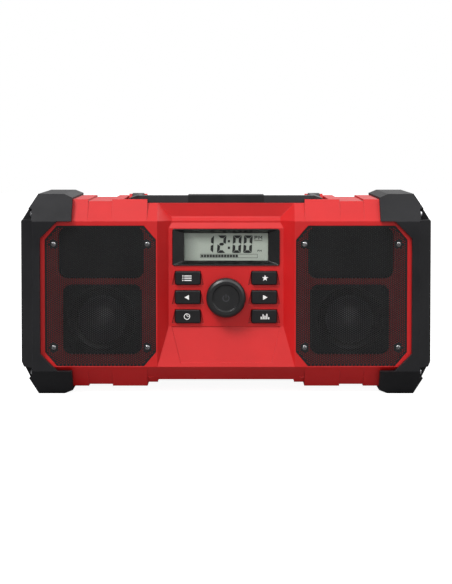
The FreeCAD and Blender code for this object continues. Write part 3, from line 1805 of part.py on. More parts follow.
def socket_door():
    body = new_body("socket_door")
    rim = s.door_rim - s.door_fit
    axis_y, axis_z = hinge_axis()
    left, right = s.nook_in - rim, s.nook_out + rim
    plate = [
        (left, axis_z),
        (right, axis_z),
        (right, s.nook_high + rim),
        (left, s.nook_high + rim),
    ]
    sketch = new_sketch(body, "plate_outline", "XZ_Plane", [plate], -s.case_rear)
    pad(body, "plate", sketch, s.door_thick)
    ring = ("circle", (axis_y, axis_z), s.hinge_barrel)
    sketch = new_sketch(body, "barrel_outline", "YZ_Plane", [ring], left)
    pad(body, "barrel", sketch, right - left)
    bore = ("circle", (axis_y, axis_z), s.hinge_pin + s.hinge_fit)
    sketch = new_sketch(body, "pin_bore_outline", "YZ_Plane", [bore], left)
    pocket(body, "pin_bore", sketch, right - left, backward=True)
    grip = s.nook_wall
    middle = (s.nook_in + s.nook_out) / 2
    scoop = (
        "rounded",
        (middle - grip, s.nook_high - grip),
        (middle + grip, s.nook_high - grip / 4),
        s.hinge_barrel,
    )
    sketch = new_sketch(body, "finger_scoop_outline", "XZ_Plane", [scoop], -s.case_rear)
    pocket(body, "finger_scoop", sketch, s.door_thick / 2, backward=True)


def door_pin():
    start = s.nook_in - s.door_rim - s.hinge_hold
    length = s.nook_out - s.nook_in + s.door_rim * 2 + s.hinge_hold * 2
    axis_y, axis_z = hinge_axis()
    radius = s.hinge_pin
    body = turned("door_pin", "pin", [(0, 0), (radius, 0), (radius, length), (0, length)])
    place(body, start, axis_y, axis_z, Rotation(Vector(0, 1, 0), 90))


def socket_panel():
    body = new_body("socket_panel")
    back = s.case_rear - s.nook_depth
    fit = s.collar_fit
    plate = [
        (s.nook_in + fit, s.nook_low + fit),
        (s.nook_out - fit, s.nook_low + fit),
        (s.nook_out - fit, s.nook_high - fit),
        (s.nook_in + fit, s.nook_high - fit),
    ]
    sketch = new_sketch(body, "plate_outline", "XZ_Plane", [plate], -back)
    pad(body, "plate", sketch, s.socket_plate, backward=True)


def audio_jack():
    radius, bore = s.jack_radius, s.jack_bore
    outline = [
        (bore, s.jack_long / 4),
        (0, s.jack_long / 4),
        (0, 0),
        (radius + 1, 0),
        (radius + 1, s.jack_long / 3),
        (radius, s.jack_long / 3),
        (radius, s.jack_long),
        (bore, s.jack_long),
    ]
    body = turned("audio_jack", "jack", outline)
    place(body, s.jack_x, s.case_rear - s.nook_depth + s.socket_plate, s.jack_z, TO_REAR)


def power_port():
    body = new_body("power_port")
    front = s.case_rear - s.nook_depth + s.socket_plate
    wide, tall = s.port_wide / 2, s.port_tall / 2
    shell = [
        (s.port_x - wide, s.jack_z - tall),
        (s.port_x + wide, s.jack_z - tall),
        (s.port_x + wide, s.jack_z + tall),
        (s.port_x - wide, s.jack_z + tall),
    ]
    sketch = new_sketch(body, "shell_outline", "XZ_Plane", [shell], -front)
    pad(body, "shell", sketch, s.port_long, backward=True)
    wide, tall = wide - s.port_skin, tall - s.port_skin
    mouth = [
        (s.port_x - wide, s.jack_z - tall),
        (s.port_x + wide, s.jack_z - tall),
        (s.port_x + wide, s.jack_z + tall),
        (s.port_x - wide, s.jack_z + tall),
    ]
    sketch = new_sketch(body, "mouth_outline", "XZ_Plane", [mouth], -(front + s.port_long))
    pocket(body, "mouth", sketch, s.port_long - s.socket_plate, backward=True)


# Battery connection in the bay


def battery_terminals():
    body = new_body("battery_terminals")
    floor = s.case_rear - s.bay_depth
    half = s.terminal_wide / 2
    low, high = s.terminal_low, s.terminal_low + s.terminal_tall
    block = [(-half, low), (half, low), (half, high), (-half, high)]
    sketch = new_sketch(body, "block_outline", "XZ_Plane", [block], -floor)
    pad(body, "block", sketch, s.terminal_deep, backward=True)
    blades = []
    for x in blade_places():
        wide = s.blade_wide / 2
        blades.append([(x - wide, low), (x + wide, low), (x + wide, high), (x - wide, high)])
    middle = floor + s.terminal_deep / 2
    top = middle + s.blade_deep / 2
    sketch = new_sketch(body, "blade_slot_outline", "XZ_Plane", blades, -top)
    pocket(body, "blade_slots", sketch, s.blade_deep, backward=True)


def blade_places():
    return [s.blade_pitch * step for step in (-1.5, -0.5, 0.5, 1.5)]


def battery_blades():
    floor = s.case_rear.value - s.bay_depth.value
    middle = floor + s.terminal_deep.value / 2
    wide, deep = s.blade_wide.value, s.blade_deep.value
    low = s.terminal_low.value - s.blade_long.value
    tall = s.blade_long.value + s.terminal_tall.value
    blades = [
        Part.makeBox(wide, deep, tall, Vector(x.value - wide / 2, middle - deep / 2, low))
        for x in blade_places()
    ]
    group("battery_blades", blades)


# Main board with its heat sink, capacitors and ferrite antenna


def main_board_posts():
    edge = s.main_half - s.post_radius
    low = s.main_low + s.post_radius
    high = s.main_high - s.post_radius
    return [(x, z) for x in (-edge, edge) for z in (low, high)]


def add_main_board_posts(body):
    back = s.main_front + s.main_thick
    posts = [("circle", spot, s.post_radius) for spot in main_board_posts()]
    sketch = new_sketch(body, "main_post_outline", "XZ_Plane", posts, -back)
    pad(body, "main_posts", sketch, s.case_rear - s.bay_depth - s.bay_wall - back, backward=True)


def main_board():
    body = new_body("main_board")
    half, low, high = s.main_half, s.main_low, s.main_high
    board = [(-half, low), (half, low), (half, high), (-half, high)]
    sketch = new_sketch(body, "board_outline", "XZ_Plane", [board], -s.main_front)
    pad(body, "board", sketch, s.main_thick, backward=True)


def heat_sink():
    body = new_body("heat_sink")
    half = s.sink_wide / 2
    low = s.main_low + s.sink_base * 5
    base = [(-half, low), (half, low), (half, low + s.sink_tall), (-half, low + s.sink_tall)]
    sketch = new_sketch(body, "base_outline", "XZ_Plane", [base], -s.main_front)
    pad(body, "base", sketch, s.sink_base)
    fin = [
        (-half, low),
        (-half + s.fin_thick, low),
        (-half + s.fin_thick, low + s.sink_tall),
        (-half, low + s.sink_tall),
    ]
    sketch = new_sketch(body, "fin_outline", "XZ_Plane", [fin], -(s.main_front - s.sink_base))
    first = pad(body, "fin", sketch, s.fin_long)
    count = int(s.fin_count.value)
    repeat_along(body, "fins", [first], "X_Axis", s.sink_wide - s.fin_thick, count)


def capacitor_places():
    return [s.sink_wide / 2 + s.ferrite_radius * 2 * side for side in (1, 2)]


def board_capacitors():
    radius = s.ferrite_radius.value * 0.8
    tall = s.fin_long.value
    height = s.main_low.value + s.sink_tall.value
    cans = [
        Part.makeCylinder(radius, tall, Vector(x.value, s.main_front.value, height), -Y_AXIS)
        for x in capacitor_places()
    ]
    group("board_capacitors", cans)


def ferrite_antenna():
    radius = s.ferrite_radius
    half = s.ferrite_half
    coil = radius + 1
    outline = [
        (0, -half),
        (radius, -half),
        (radius, -half / 3),
        (coil, -half / 3),
        (coil, half / 3),
        (radius, half / 3),
        (radius, half),
        (0, half),
    ]
    body = turned("ferrite_antenna", "rod", outline)
    place(body, 0, antenna_y(), s.ferrite_z, Rotation(Vector(0, 1, 0), 90))


def antenna_y():
    return s.main_front - s.ferrite_radius - s.wall


def antenna_clips():
    """Two saddles that hold the rod off the board."""
    radius = s.ferrite_radius.value
    wide = s.wall.value * 2
    clips = []
    middle = Vector(0, antenna_y().value, s.ferrite_z.value)
    for _, side in SIDES:
        start = side * s.ferrite_half.value * 0.75 - wide / 2
        deep = s.main_front.value - middle.y
        low = middle.z - radius - 1.5
        block = Part.makeBox(wide, deep, radius * 2 + 3, Vector(start, middle.y, low))
        rod = Part.makeCylinder(
            radius + s.shaft_fit.value, wide, Vector(start, middle.y, middle.z), X_AXIS
        )
        clips.append(block.cut(rod))
    group("antenna_clips", clips)


# Groups of like pieces, each kept as separate solids in one sub-part


def group(label, shapes):
    """Loose solids that share one sub-part, such as a set of screws."""
    item = doc.addObject("Part::Feature", label)
    item.Label = label
    item.Shape = Part.makeCompound(shapes)
    item.Placement = Placement()
    SUB_PARTS.append(item)
    return item


def screw_shape(length, head=None, tall=None):
    """A pan-head screw along +Z, its head on top of the plane z = 0."""
    head = (head or s.screw_head).value
    tall = (tall or s.screw_head_tall).value
    shank = s.screw_shank.value - s.shaft_fit.value
    profile = [
        Vector(0, 0, -length),
        Vector(shank, 0, -length + shank),
        Vector(shank, 0, 0),
        Vector(head, 0, 0),
        Vector(head, 0, tall * 0.45),
        Vector(head * 0.72, 0, tall),
        Vector(0, 0, tall),
    ]
    wire = Part.makePolygon(profile + [profile[0]])
    return Part.Face(wire).revolve(Vector(), Z_AXIS, 360)


def put(shape, x, y, z, rotation):
    copy = shape.copy()
    copy.Placement = Placement(Vector(x, y, z), rotation)
    return copy


def screws():
    grille_front = s.case_front.value - s.grille_sink.value + s.grille_sheet.value
    reach = grille_front - s.chamber_front.value + s.baffle_plate.value + s.wall.value
    screw = screw_shape(reach, tall=s.grille_sheet * 1.4)
    spots = [(side * x.value, z.value) for _, side in SIDES for x, z in grille_screws()]
    group("grille_screws", [put(screw, x, -grille_front, z, TO_FRONT) for x, z in spots])
    flange = s.chamber_front.value + s.driver_flange.value
    screw = screw_shape(s.driver_flange.value + s.baffle_plate.value + s.wall.value)
    spots = [
        (side * s.driver_x.value + as_dim(x).value, s.driver_z.value + as_dim(z).value)
        for _, side in SIDES
        for x, z in driver_screws()
    ]
    group("driver_screws", [put(screw, x, -flange, z, TO_FRONT) for x, z in spots])
    seat = s.case_rear.value - s.slope_run.value - s.screw_sink.value
    screw = screw_shape(seat + s.seam_front.value + s.screw_sink.value)
    spots = [(side * x.value, z.value) for _, side in SIDES for x, z in case_bosses()]
    group("case_screws", [put(screw, x, seat, z, TO_REAR) for x, z in spots])
    seat = s.cap_screw_seat.value
    screw = screw_shape(seat - s.case_half.value + s.cap_screw_grip.value)
    turn = {-1: Rotation(Y_AXIS, -90), 1: Rotation(Y_AXIS, 90)}
    caps = [
        put(screw, side * seat, as_dim(y).value, z.value, turn[side])
        for _, side in SIDES
        for y, z in cap_screw_spots()
    ]
    group("end_cap_screws", caps)


def handle_pins():
    inner, outer = ear_spans()
    length = (outer[1] - inner[0]).value
    radius = s.pivot_bore.value / 2
    pins = []
    for _, side in SIDES:
        start = inner[0].value if side > 0 else -outer[1].value
        foot = Vector(start, s.pivot_back.value, pivot_z().value)
        pins.append(Part.makeCylinder(radius, length, foot, X_AXIS))
    group("handle_pins", pins)


def write_sub_parts():
    doc.recompute()
    faults = []
    for item in doc.Objects:
        if "Invalid" in item.State or "Error" in item.State:
            faults.append(item.Name + " " + ",".join(item.State))
    for item in SUB_PARTS:
        if item.Shape.isNull() or not item.Shape.isValid():
            faults.append(item.Label + " has no valid shape")
    if faults:
        raise RuntimeError("; ".join(faults))
    os.makedirs("parts", exist_ok=True)
    for item in SUB_PARTS:
        item.Shape.exportStep("parts/" + item.Label + ".step")
        print(item.Label, len(item.Shape.Solids), round(item.Shape.Volume / 1000, 2), "cm3")


front_housing()
rear_housing()
for side_name, side_sign in SIDES:
    bumper(side_name, side_sign)
    grille(side_name, side_sign)
    baffle(side_name, side_sign)
    speaker_frame(side_name, side_sign)
    speaker_magnet(side_name, side_sign)
    speaker_surround(side_name, side_sign)
    speaker_cone(side_name, side_sign)
    voice_coil(side_name, side_sign)
    dust_cap(side_name, side_sign)
display_bezel()
display_stack()
for column, column_sign in SIDES:
    for row_name, row_z in zip(("upper", "middle", "lower"), key_rows(), strict=True):
        key("key_" + row_name + "_" + column, column_sign * s.key_x, row_z)
key_mat()
control_board()
encoder_body()
encoder_plunger()
encoder_shaft()
tuning_knob()
handle_frame()
handle_grip()
socket_door()
door_pin()
socket_panel()
audio_jack()
power_port()
battery_terminals()
battery_blades()
main_board()
heat_sink()
board_capacitors()
ferrite_antenna()
antenna_clips()
screws()
handle_pins()
write_sub_parts()
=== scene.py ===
import logging
import math
from dataclasses import dataclass
from enum import Enum

import bmesh
import bpy
from bmesh.types import BMesh, BMVert
from bpy.types import Material, Mesh, Node, NodeSocket, NodeTree, Object, Scene
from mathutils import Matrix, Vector


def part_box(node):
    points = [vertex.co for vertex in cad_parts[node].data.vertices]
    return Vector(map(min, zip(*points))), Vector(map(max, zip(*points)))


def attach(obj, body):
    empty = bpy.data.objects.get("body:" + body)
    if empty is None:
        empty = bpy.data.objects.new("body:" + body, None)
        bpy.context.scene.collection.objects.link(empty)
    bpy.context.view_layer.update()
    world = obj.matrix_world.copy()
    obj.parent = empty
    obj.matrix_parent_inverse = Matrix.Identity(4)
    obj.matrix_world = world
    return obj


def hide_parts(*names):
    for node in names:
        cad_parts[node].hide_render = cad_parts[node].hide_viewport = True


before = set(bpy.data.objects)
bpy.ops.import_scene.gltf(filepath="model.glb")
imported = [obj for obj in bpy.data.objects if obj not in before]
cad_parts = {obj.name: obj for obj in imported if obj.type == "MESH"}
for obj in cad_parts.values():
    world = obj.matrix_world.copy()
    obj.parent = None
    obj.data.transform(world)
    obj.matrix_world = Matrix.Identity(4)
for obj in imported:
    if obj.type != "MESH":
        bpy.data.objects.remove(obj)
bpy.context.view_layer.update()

LOG = logging.getLogger("jobsite_radio")
MM = 0.001

Point = tuple[float, float]
Colour = tuple[float, float, float]
Ramp = tuple[float, float, float, float]


def tone(red: int, green: int, blue: int) -> Colour:
    """Turns a colour as a screen shows it into the linear one that a shader takes.

    Args:
        red: Red, 0 to 255.
        green: Green, 0 to 255.
        blue: Blue, 0 to 255.

    Returns:
        The linear colour.
    """
    parts = []
    for part in (red, green, blue):
        share = part / 255
        parts.append(share / 12.92 if share <= 0.04045 else ((share + 0.055) / 1.055) ** 2.4)
    return (parts[0], parts[1], parts[2])


def grey(level: int, cool: int = 0) -> Colour:
    """A grey as a screen shows it, with a little more blue where it is cool."""
    return tone(level, level, level + cool)


class Side(Enum):
    """The two ends of the radio, by the sign of X."""

    LEFT = -1
    RIGHT = 1

    @property
    def word(self) -> str:
        """The side's word in a node's name."""
        return self.name.lower()


class SideKey(Enum):
    """The six keys, by the word in their node's name."""

    LIST = "upper_left"
    STAR = "upper_right"
    BACK = "middle_left"
    ONWARD = "middle_right"
    CLOCK = "lower_left"
    BARS = "lower_right"


class Tree:
    """A node tree, with short calls to fill it."""

    def __init__(self, tree: NodeTree) -> None:
        """Empties the tree and keeps it."""
        self.tree = tree
        self.tree.nodes.clear()

    def add(self, kind: str, settings: dict | None = None, values: dict | None = None) -> Node:
        """Adds one node.

        Args:
            kind: The node's type after ShaderNode.
            settings: Its properties.
            values: Numbers for its input sockets.

        Returns:
            The node.
        """
        node = self.tree.nodes.new("ShaderNode" + kind)
        for key, value in (settings or {}).items():
            setattr(node, key, value)
        for key, value in (values or {}).items():
            node.inputs[key].default_value = value
        return node

    def wire(self, source: NodeSocket, target: NodeSocket) -> None:
        """Links one socket to another."""
        self.tree.links.new(source, target)

    def maths(self, kind: str, first: NodeSocket, second: NodeSocket) -> NodeSocket:
        """Joins two patterns.

        Args:
            kind: How they are joined, such as MULTIPLY.
            first: One pattern.
            second: The other pattern.

        Returns:
            The joined pattern.
        """
        node = self.add("Math", {"operation": kind})
        self.wire(first, node.inputs[0])
        self.wire(second, node.inputs[1])
        return node.outputs[0]

    def stretch(
        self,
        source: NodeSocket,
        low: float,
        high: float,
        to_low: float,
        to_high: float,
        smooth: bool = False,
    ) -> NodeSocket:
        """Spreads a pattern between two limits.

        Args:
            source: The pattern.
            low: The value that becomes to_low.
            high: The value that becomes to_high.
            to_low: The lowest result.
            to_high: The highest result.
            smooth: Whether it starts and ends gently.

        Returns:
            The new pattern.
        """
        kind = "SMOOTHSTEP" if smooth else "LINEAR"
        values = {1: low, 2: high, 3: to_low, 4: to_high}
        node = self.add("MapRange", {"interpolation_type": kind}, values)
        self.wire(source, node.inputs[0])
        return node.outputs[0]

    def choose(self, share: NodeSocket, first: NodeSocket, second: NodeSocket | float) -> NodeSocket:
        """Blends two strengths.

        Args:
            share: How much of the second one, 0 to 1.
            first: The strength where share is 0.
            second: The strength, or a number, where share is 1.

        Returns:
            The blended strength.
        """
        node = self.add("Mix")
        self.wire(share, node.inputs[0])
        self.wire(first, node.inputs[2])
        if isinstance(second, float):
            node.inputs[3].default_value = second
        else:
            self.wire(second, node.inputs[3])
        return node.outputs[0]


class Graph(Tree):
    """A material's node tree."""

    def __init__(self, name: str) -> None:
        """Starts an empty material.

        Args:
            name: The material's name.
        """
        self.material = bpy.data.materials.new(name)
        self.material.use_nodes = True
        super().__init__(self.material.node_tree)
        self.output = self.add("OutputMaterial")

    def place(self) -> NodeSocket:
        """The surface's own coordinates, in metres."""
        return self.add("TexCoord").outputs["Object"]

    def noise(self, place: NodeSocket, scale: float, detail: float = 2.0) -> NodeSocket:
        """Adds soft random spots.

        Args:
            place: Where the pattern is read.
            scale: Spots for each metre.
            detail: Finer layers on top.

        Returns:
            The pattern, 0 to 1.
        """
        node = self.add("TexNoise", values={"Scale": scale, "Detail": detail})
        self.wire(place, node.inputs["Vector"])
        return node.outputs["Fac"]

    def mix(self, share: NodeSocket, first: Colour | NodeSocket, second: Colour) -> NodeSocket:
        """Blends two colours by a pattern.

        Args:
            share: How much of the second colour, 0 to 1.
            first: The colour, or a socket that gives it, where share is 0.
            second: The colour where share is 1.

        Returns:
            The blended colour.
        """
        node = self.add("Mix", {"data_type": "RGBA"})
        self.wire(share, node.inputs[0])
        if isinstance(first, tuple):
            node.inputs[6].default_value = (*first, 1)
        else:
            self.wire(first, node.inputs[6])
        node.inputs[7].default_value = (*second, 1)
        return node.outputs[2]

    def edges(self, radius: float) -> tuple[NodeSocket, NodeSocket]:
        """Finds the piece's edges and rounds the way they shade.

        Args:
            radius: How far from an edge it reaches, in metres.

        Returns:
            The rounded normal, and a pattern that is 1 on an edge.
        """
        bevel = self.add("Bevel", {"samples": 6}, {"Radius": radius})
        shape = self.add("NewGeometry")
        dot = self.add("VectorMath", {"operation": "DOT_PRODUCT"})
        self.wire(bevel.outputs[0], dot.inputs[0])
        self.wire(shape.outputs["Normal"], dot.inputs[1])
        return bevel.outputs[0], self.stretch(dot.outputs["Value"], 0.995, 0.9, 0.0, 1.0)

    def corners(self, reach: float, low: float, high: float, most: float) -> NodeSocket:
        """A pattern for painted shade in recesses, from ambient occlusion: most where openness within reach
        is low, and 0 from high on.
        """
        node = self.add("AmbientOcclusion", {"samples": 8}, {"Distance": reach})
        return self.stretch(node.outputs["AO"], low, high, most, 0.0)

    def bump(
        self,
        height: NodeSocket,
        depth: float,
        strength: float,
        normal: NodeSocket | None = None,
    ) -> NodeSocket:
        """Turns a pattern into relief.

        Args:
            height: The pattern.
            depth: How far it stands out, in metres.
            strength: How much of it shows.
            normal: What it is added to.

        Returns:
            The new normal.
        """
        node = self.add("Bump", values={"Strength": strength, "Distance": depth})
        self.wire(height, node.inputs["Height"])
        if normal is not None:
            self.wire(normal, node.inputs["Normal"])
        return node.outputs[0]

    def close(self, shader: Node) -> Material:
        """Sends a shader to the output and returns the material."""
        self.wire(shader.outputs[0], self.output.inputs["Surface"])
        return self.material


@dataclass(frozen=True)
class Moulded:
    """A moulded plastic or rubber with a fine grain, soft cloudiness, slightly worn edges and painted shade
    in its recesses.
    """

    name: str
    colour: Colour
    shade: Colour
    worn: Colour
    roughness: float = 0.45
    gloss: float = 0.5
    grain: float = 2600.0
    grain_depth: float = 0.00004
    grain_strength: float = 0.35
    edge: float = 0.0006
    wear: float = 0.25
    # recess and the three values after it paint shade into recesses: how strong it is, how far ambient
    # occlusion looks, and how dark the red and the other channels become.
    recess: float = 0.55
    painted_shade_reach: float = 0.006
    painted_shade_red: float = 0.14
    painted_shade_rest: float = 0.2
    cloud_scale: float = 28.0
    wear_scale: float = 220.0
    haze_scale: float = 90.0
    haze: float = 0.06

    @property
    def painted_shade_colour(self) -> Colour:
        """The painted shade colour in a recess, much darker than on a free face."""
        red, green, blue = self.colour
        return (red * self.painted_shade_red, green * self.painted_shade_rest, blue * self.painted_shade_rest)

    def build(self) -> Material:
        """Makes the material and returns it."""
        graph = Graph(self.name)
        place = graph.place()
        shader = graph.add("BsdfPrincipled", values={"Specular IOR Level": self.gloss})
        cloud = graph.stretch(graph.noise(place, self.cloud_scale, 5), 0.35, 0.65, 0.0, 1.0)
        plain = graph.mix(cloud, self.colour, self.shade)
        # Painted shade: the colour darkens towards the shade colour where ambient occlusion finds a recess.
        body = graph.mix(graph.corners(self.painted_shade_reach, 0.1, 0.6, self.recess), plain, self.painted_shade_colour)
        normal, edge = graph.edges(self.edge)
        scuffs = graph.stretch(graph.noise(place, self.wear_scale, 6), 0.4, 0.7, 0.0, self.wear)
        rubbed = graph.maths("MULTIPLY", edge, scuffs)
        graph.wire(graph.mix(rubbed, body, self.worn), shader.inputs["Base Color"])
        haze = graph.noise(place, self.haze_scale, 6)
        smooth, rough = self.roughness - self.haze, self.roughness + self.haze
        graph.wire(graph.stretch(haze, 0.3, 0.7, smooth, rough), shader.inputs["Roughness"])
        fine = graph.noise(place, self.grain, 3)
        graph.wire(graph.bump(fine, self.grain_depth, self.grain_strength, normal), shader.inputs["Normal"])
        return graph.close(shader)


@dataclass(frozen=True)
class Metal:
    """A bare or plated metal with fine brush marks and cloudy stains."""

    name: str
    colour: Colour
    shade: Colour
    roughness: float = 0.32
    brushed: float = 900.0
    stain_scale: float = 160.0
    stretch_up: float = 14.0
    smoother: float = 0.08
    rougher: float = 0.1
    edge: float = 0.0002
    relief_depth: float = 0.00001
    relief: float = 0.2

    def build(self) -> Material:
        """Makes the material and returns it."""
        graph = Graph(self.name)
        place = graph.place()
        shader = graph.add("BsdfPrincipled", values={"Metallic": 1.0})
        stain = graph.stretch(graph.noise(place, self.stain_scale, 5), 0.35, 0.7, 0.0, 1.0)
        graph.wire(graph.mix(stain, self.colour, self.shade), shader.inputs["Base Color"])
        drawn_out = graph.add("Mapping", values={"Scale": (1.0, 1.0, self.stretch_up)})
        graph.wire(place, drawn_out.inputs[0])
        lines = graph.noise(drawn_out.outputs[0], self.brushed, 4)
        smooth, rough = self.roughness - self.smoother, self.roughness + self.rougher
        graph.wire(graph.stretch(lines, 0.3, 0.7, smooth, rough), shader.inputs["Roughness"])
        normal, _ = graph.edges(self.edge)
        graph.wire(graph.bump(lines, self.relief_depth, self.relief, normal), shader.inputs["Normal"])
        return graph.close(shader)


@dataclass(frozen=True)
class Fibre:
    """Pressed pulp or a cast surface, with flecks and a coarse grain."""

    name: str
    colour: Colour
    fleck: Colour
    roughness: float = 0.8
    scale: float = 900.0
    gloss: float = 0.3
    coat: float = 0.0
    coat_roughness: float = 0.13
    coat_ior: float = 2.3
    relief: float = 0.5
    relief_depth: float = 0.0001
    fleck_heart: float = 0.2
    fleck_rim: float = 0.7

    def build(self) -> Material:
        """Makes the material and returns it."""
        graph = Graph(self.name)
        place = graph.place()
        values = {
            "Roughness": self.roughness,
            "Specular IOR Level": self.gloss,
            "Coat Weight": self.coat,
            "Coat Roughness": self.coat_roughness,
            "Coat IOR": self.coat_ior,
        }
        shader = graph.add("BsdfPrincipled", values=values)
        cells = graph.add("TexVoronoi", {"feature": "F1"}, {"Scale": self.scale})
        graph.wire(place, cells.inputs["Vector"])
        fleck = graph.stretch(cells.outputs["Distance"], self.fleck_heart, self.fleck_rim, 1.0, 0.0)
        graph.wire(graph.mix(fleck, self.colour, self.fleck), shader.inputs["Base Color"])
        rough = graph.noise(place, self.scale * 2, 6)
        graph.wire(graph.bump(rough, self.relief_depth, self.relief), shader.inputs["Normal"])
        return graph.close(shader)


@dataclass(frozen=True)
class Crystal:
    """The display's liquid crystal glass, grey green with a faint shadow at its top and left."""

    name: str = "lcd_glass"
    colour: Colour = tone(178, 187, 176)
    shade: Colour = tone(132, 139, 131)
    upper_shade: Point = (0.150, 0.162)
    left_shade: Point = (-0.040, -0.026)
    most_above: float = 0.8
    speck_scale: float = 6000.0

    def build(self) -> Material:
        """Makes the material and returns it."""
        graph = Graph(self.name)
        place = graph.place()
        shader = graph.add("BsdfPrincipled", values={"Roughness": 0.35, "Specular IOR Level": 0.3})
        apart = graph.add("SeparateXYZ")
        graph.wire(place, apart.inputs[0])
        above = graph.stretch(apart.outputs["Z"], *self.upper_shade, 0.0, self.most_above)
        aside = graph.stretch(apart.outputs["X"], *self.left_shade, 1.0, 0.0)
        rim = graph.maths("MAXIMUM", above, aside)
        graph.wire(graph.mix(rim, self.colour, self.shade), shader.inputs["Base Color"])
        speck = graph.noise(place, self.speck_scale, 2)
        graph.wire(graph.bump(speck, 0.00001, 0.3), shader.inputs["Normal"])
        return graph.close(shader)


@dataclass(frozen=True)
class Pane:
    """A clear moulded window with a few hairline scratches."""

    name: str = "clear_window"
    tint: Colour = (0.05, 0.055, 0.05)
    alpha: float = 0.04
    scratch_scale: float = 700.0
    scratches: Ramp = (0.45, 0.75, 0.03, 0.22)

    def build(self) -> Material:
        """Makes the material and returns it."""
        graph = Graph(self.name)
        place = graph.place()
        shader = graph.add("BsdfPrincipled", values={"Base Color": (*self.tint, 1), "Alpha": self.alpha})
        scratch = graph.noise(place, self.scratch_scale, 8)
        graph.wire(graph.stretch(scratch, *self.scratches), shader.inputs["Roughness"])
        graph.wire(graph.bump(scratch, 0.00001, 0.1), shader.inputs["Normal"])
        return graph.close(shader)


@dataclass(frozen=True)
class Board:
    """A circuit board under its green mask, with copper runs that show through."""

    name: str = "circuit_board"
    mask: Colour = tone(16, 92, 48)
    copper: Colour = tone(42, 138, 74)
    run_scale: float = 260.0
    run_width: float = 0.06

    def build(self) -> Material:
        """Makes the material and returns it."""
        graph = Graph(self.name)
        place = graph.place()
        shader = graph.add("BsdfPrincipled", values={"Roughness": 0.3, "Coat Weight": 0.3})
        sizes = {"Scale": self.run_scale, "Mortar Size": self.run_width}
        tiles = graph.add("TexBrick", {"offset": 0.3}, sizes)
        graph.wire(place, tiles.inputs["Vector"])
        graph.wire(graph.mix(tiles.outputs["Fac"], self.mask, self.copper), shader.inputs["Base Color"])
        graph.wire(graph.bump(tiles.outputs["Fac"], 0.00003, 0.4), shader.inputs["Normal"])
        return graph.close(shader)


@dataclass(frozen=True)
class Ink:
    """Printed ink of slightly uneven colour."""

    name: str
    colour: Colour
    shade: Colour
    roughness: float = 0.5
    patch_scale: float = 1400.0

    def build(self) -> Material:
        """Makes the material and returns it."""
        graph = Graph(self.name)
        place = graph.place()
        shader = graph.add("BsdfPrincipled", values={"Roughness": self.roughness})
        patch = graph.stretch(graph.noise(place, self.patch_scale, 4), 0.4, 0.7, 0.0, 1.0)
        graph.wire(graph.mix(patch, self.colour, self.shade), shader.inputs["Base Color"])
        graph.wire(graph.bump(patch, 0.00001, 0.2), shader.inputs["Normal"])
        return graph.close(shader)


class Finishes:
    """Every finish of the radio, each made once."""

    def __init__(self) -> None:
        """Makes the materials."""
        # The red plastic gets strong painted shade in its recesses; the grille gets none.
        self.red = Moulded(
            "red_plastic", (0.60, 0.010, 0.011), (0.55, 0.0085, 0.0095), tone(232, 104, 102),
            roughness=0.42, gloss=0.4, wear=0.15, recess=0.85,
        ).build()
        self.rubber = Moulded(
            "rubber", grey(35, 2), grey(29, 2), grey(74, 4), roughness=0.5, gloss=0.16,
            grain=3400.0, grain_depth=0.00006, grain_strength=0.5, edge=0.0010, wear=0.45,
        ).build()
        self.grille = Moulded(
            "grille_steel", grey(28, 1), grey(21, 1), grey(66), roughness=0.4, gloss=0.4,
            grain=5000.0, edge=0.0001, recess=0.0,
        ).build()
        self.black = Moulded(
            "black_plastic", grey(28, 1), grey(22, 1), grey(74, 2), roughness=0.36,
            grain=4200.0, edge=0.0005, wear=0.4,
        ).build()
        self.bezel = Moulded(
            "bezel_plastic", grey(17, 1), grey(13, 1), tone(96, 92, 94), roughness=0.2, gloss=0.7,
            grain=4200.0, edge=0.0005,
        ).build()
        self.key = Moulded(
            "key_plastic", grey(22, 2), grey(18, 2), grey(74, 4), roughness=0.4, gloss=0.4,
            grain=5200.0, wear=0.5,
        ).build()
        self.handle = Moulded(
            "handle_plastic", grey(44, 2), grey(36, 2), grey(90, 4), roughness=0.5, gloss=0.45
        ).build()
        self.grip = Moulded(
            "grip_rubber", grey(30, 1), grey(25, 1), grey(66, 2), roughness=0.7, gloss=0.3,
            grain=1800.0, grain_depth=0.0001, grain_strength=0.7,
        ).build()
        self.surround = Moulded(
            "surround_rubber", grey(34, 1), grey(28, 1), grey(60, 2), roughness=0.2, gloss=0.9,
            grain=3000.0, grain_strength=0.1, edge=0.0003,
        ).build()
        self.basket = Moulded(
            "basket_steel", grey(44, 2), grey(34, 2), grey(96, 4), roughness=0.35,
            grain=2400.0, edge=0.0003,
        ).build()
        self.light_box = Moulded(
            "light_box", tone(222, 222, 216), tone(206, 206, 200), tone(236, 236, 230),
            roughness=0.5, gloss=0.4,
        ).build()
        self.ferrite = Fibre("magnet_ferrite", grey(62, 3), grey(40, 3), roughness=0.6, scale=700.0).build()
        self.cone = Fibre(
            "cone_paper", grey(104, 4), grey(76, 4), roughness=0.34, scale=1600.0, gloss=0.9,
            coat=1.0, relief=0.1,
        ).build()
        self.steel = Metal("bright_steel", (0.62, 0.62, 0.64), (0.40, 0.40, 0.42)).build()
        self.screw = Metal("screw_steel", (0.40, 0.40, 0.41), (0.18, 0.18, 0.185), 0.24).build()
        self.dark_steel = Metal("black_steel", (0.06, 0.06, 0.065), (0.03, 0.03, 0.032), 0.38).build()
        self.aluminium = Metal("coil_aluminium", (0.72, 0.72, 0.74), (0.5, 0.5, 0.52), 0.36).build()
        self.brass = Metal("brass", (0.78, 0.60, 0.28), (0.52, 0.36, 0.14), 0.3).build()
        self.lcd = Crystal().build()
        self.window = Pane().build()
        self.board = Board().build()
        self.digit = Ink("lcd_ink", tone(16, 20, 19), tone(12, 15, 14), 0.6).build()
        self.print = Ink("key_print", tone(250, 250, 248), tone(236, 236, 234)).build()
        self.faint = Ink("knob_print", grey(58, 4), grey(60, 4)).build()


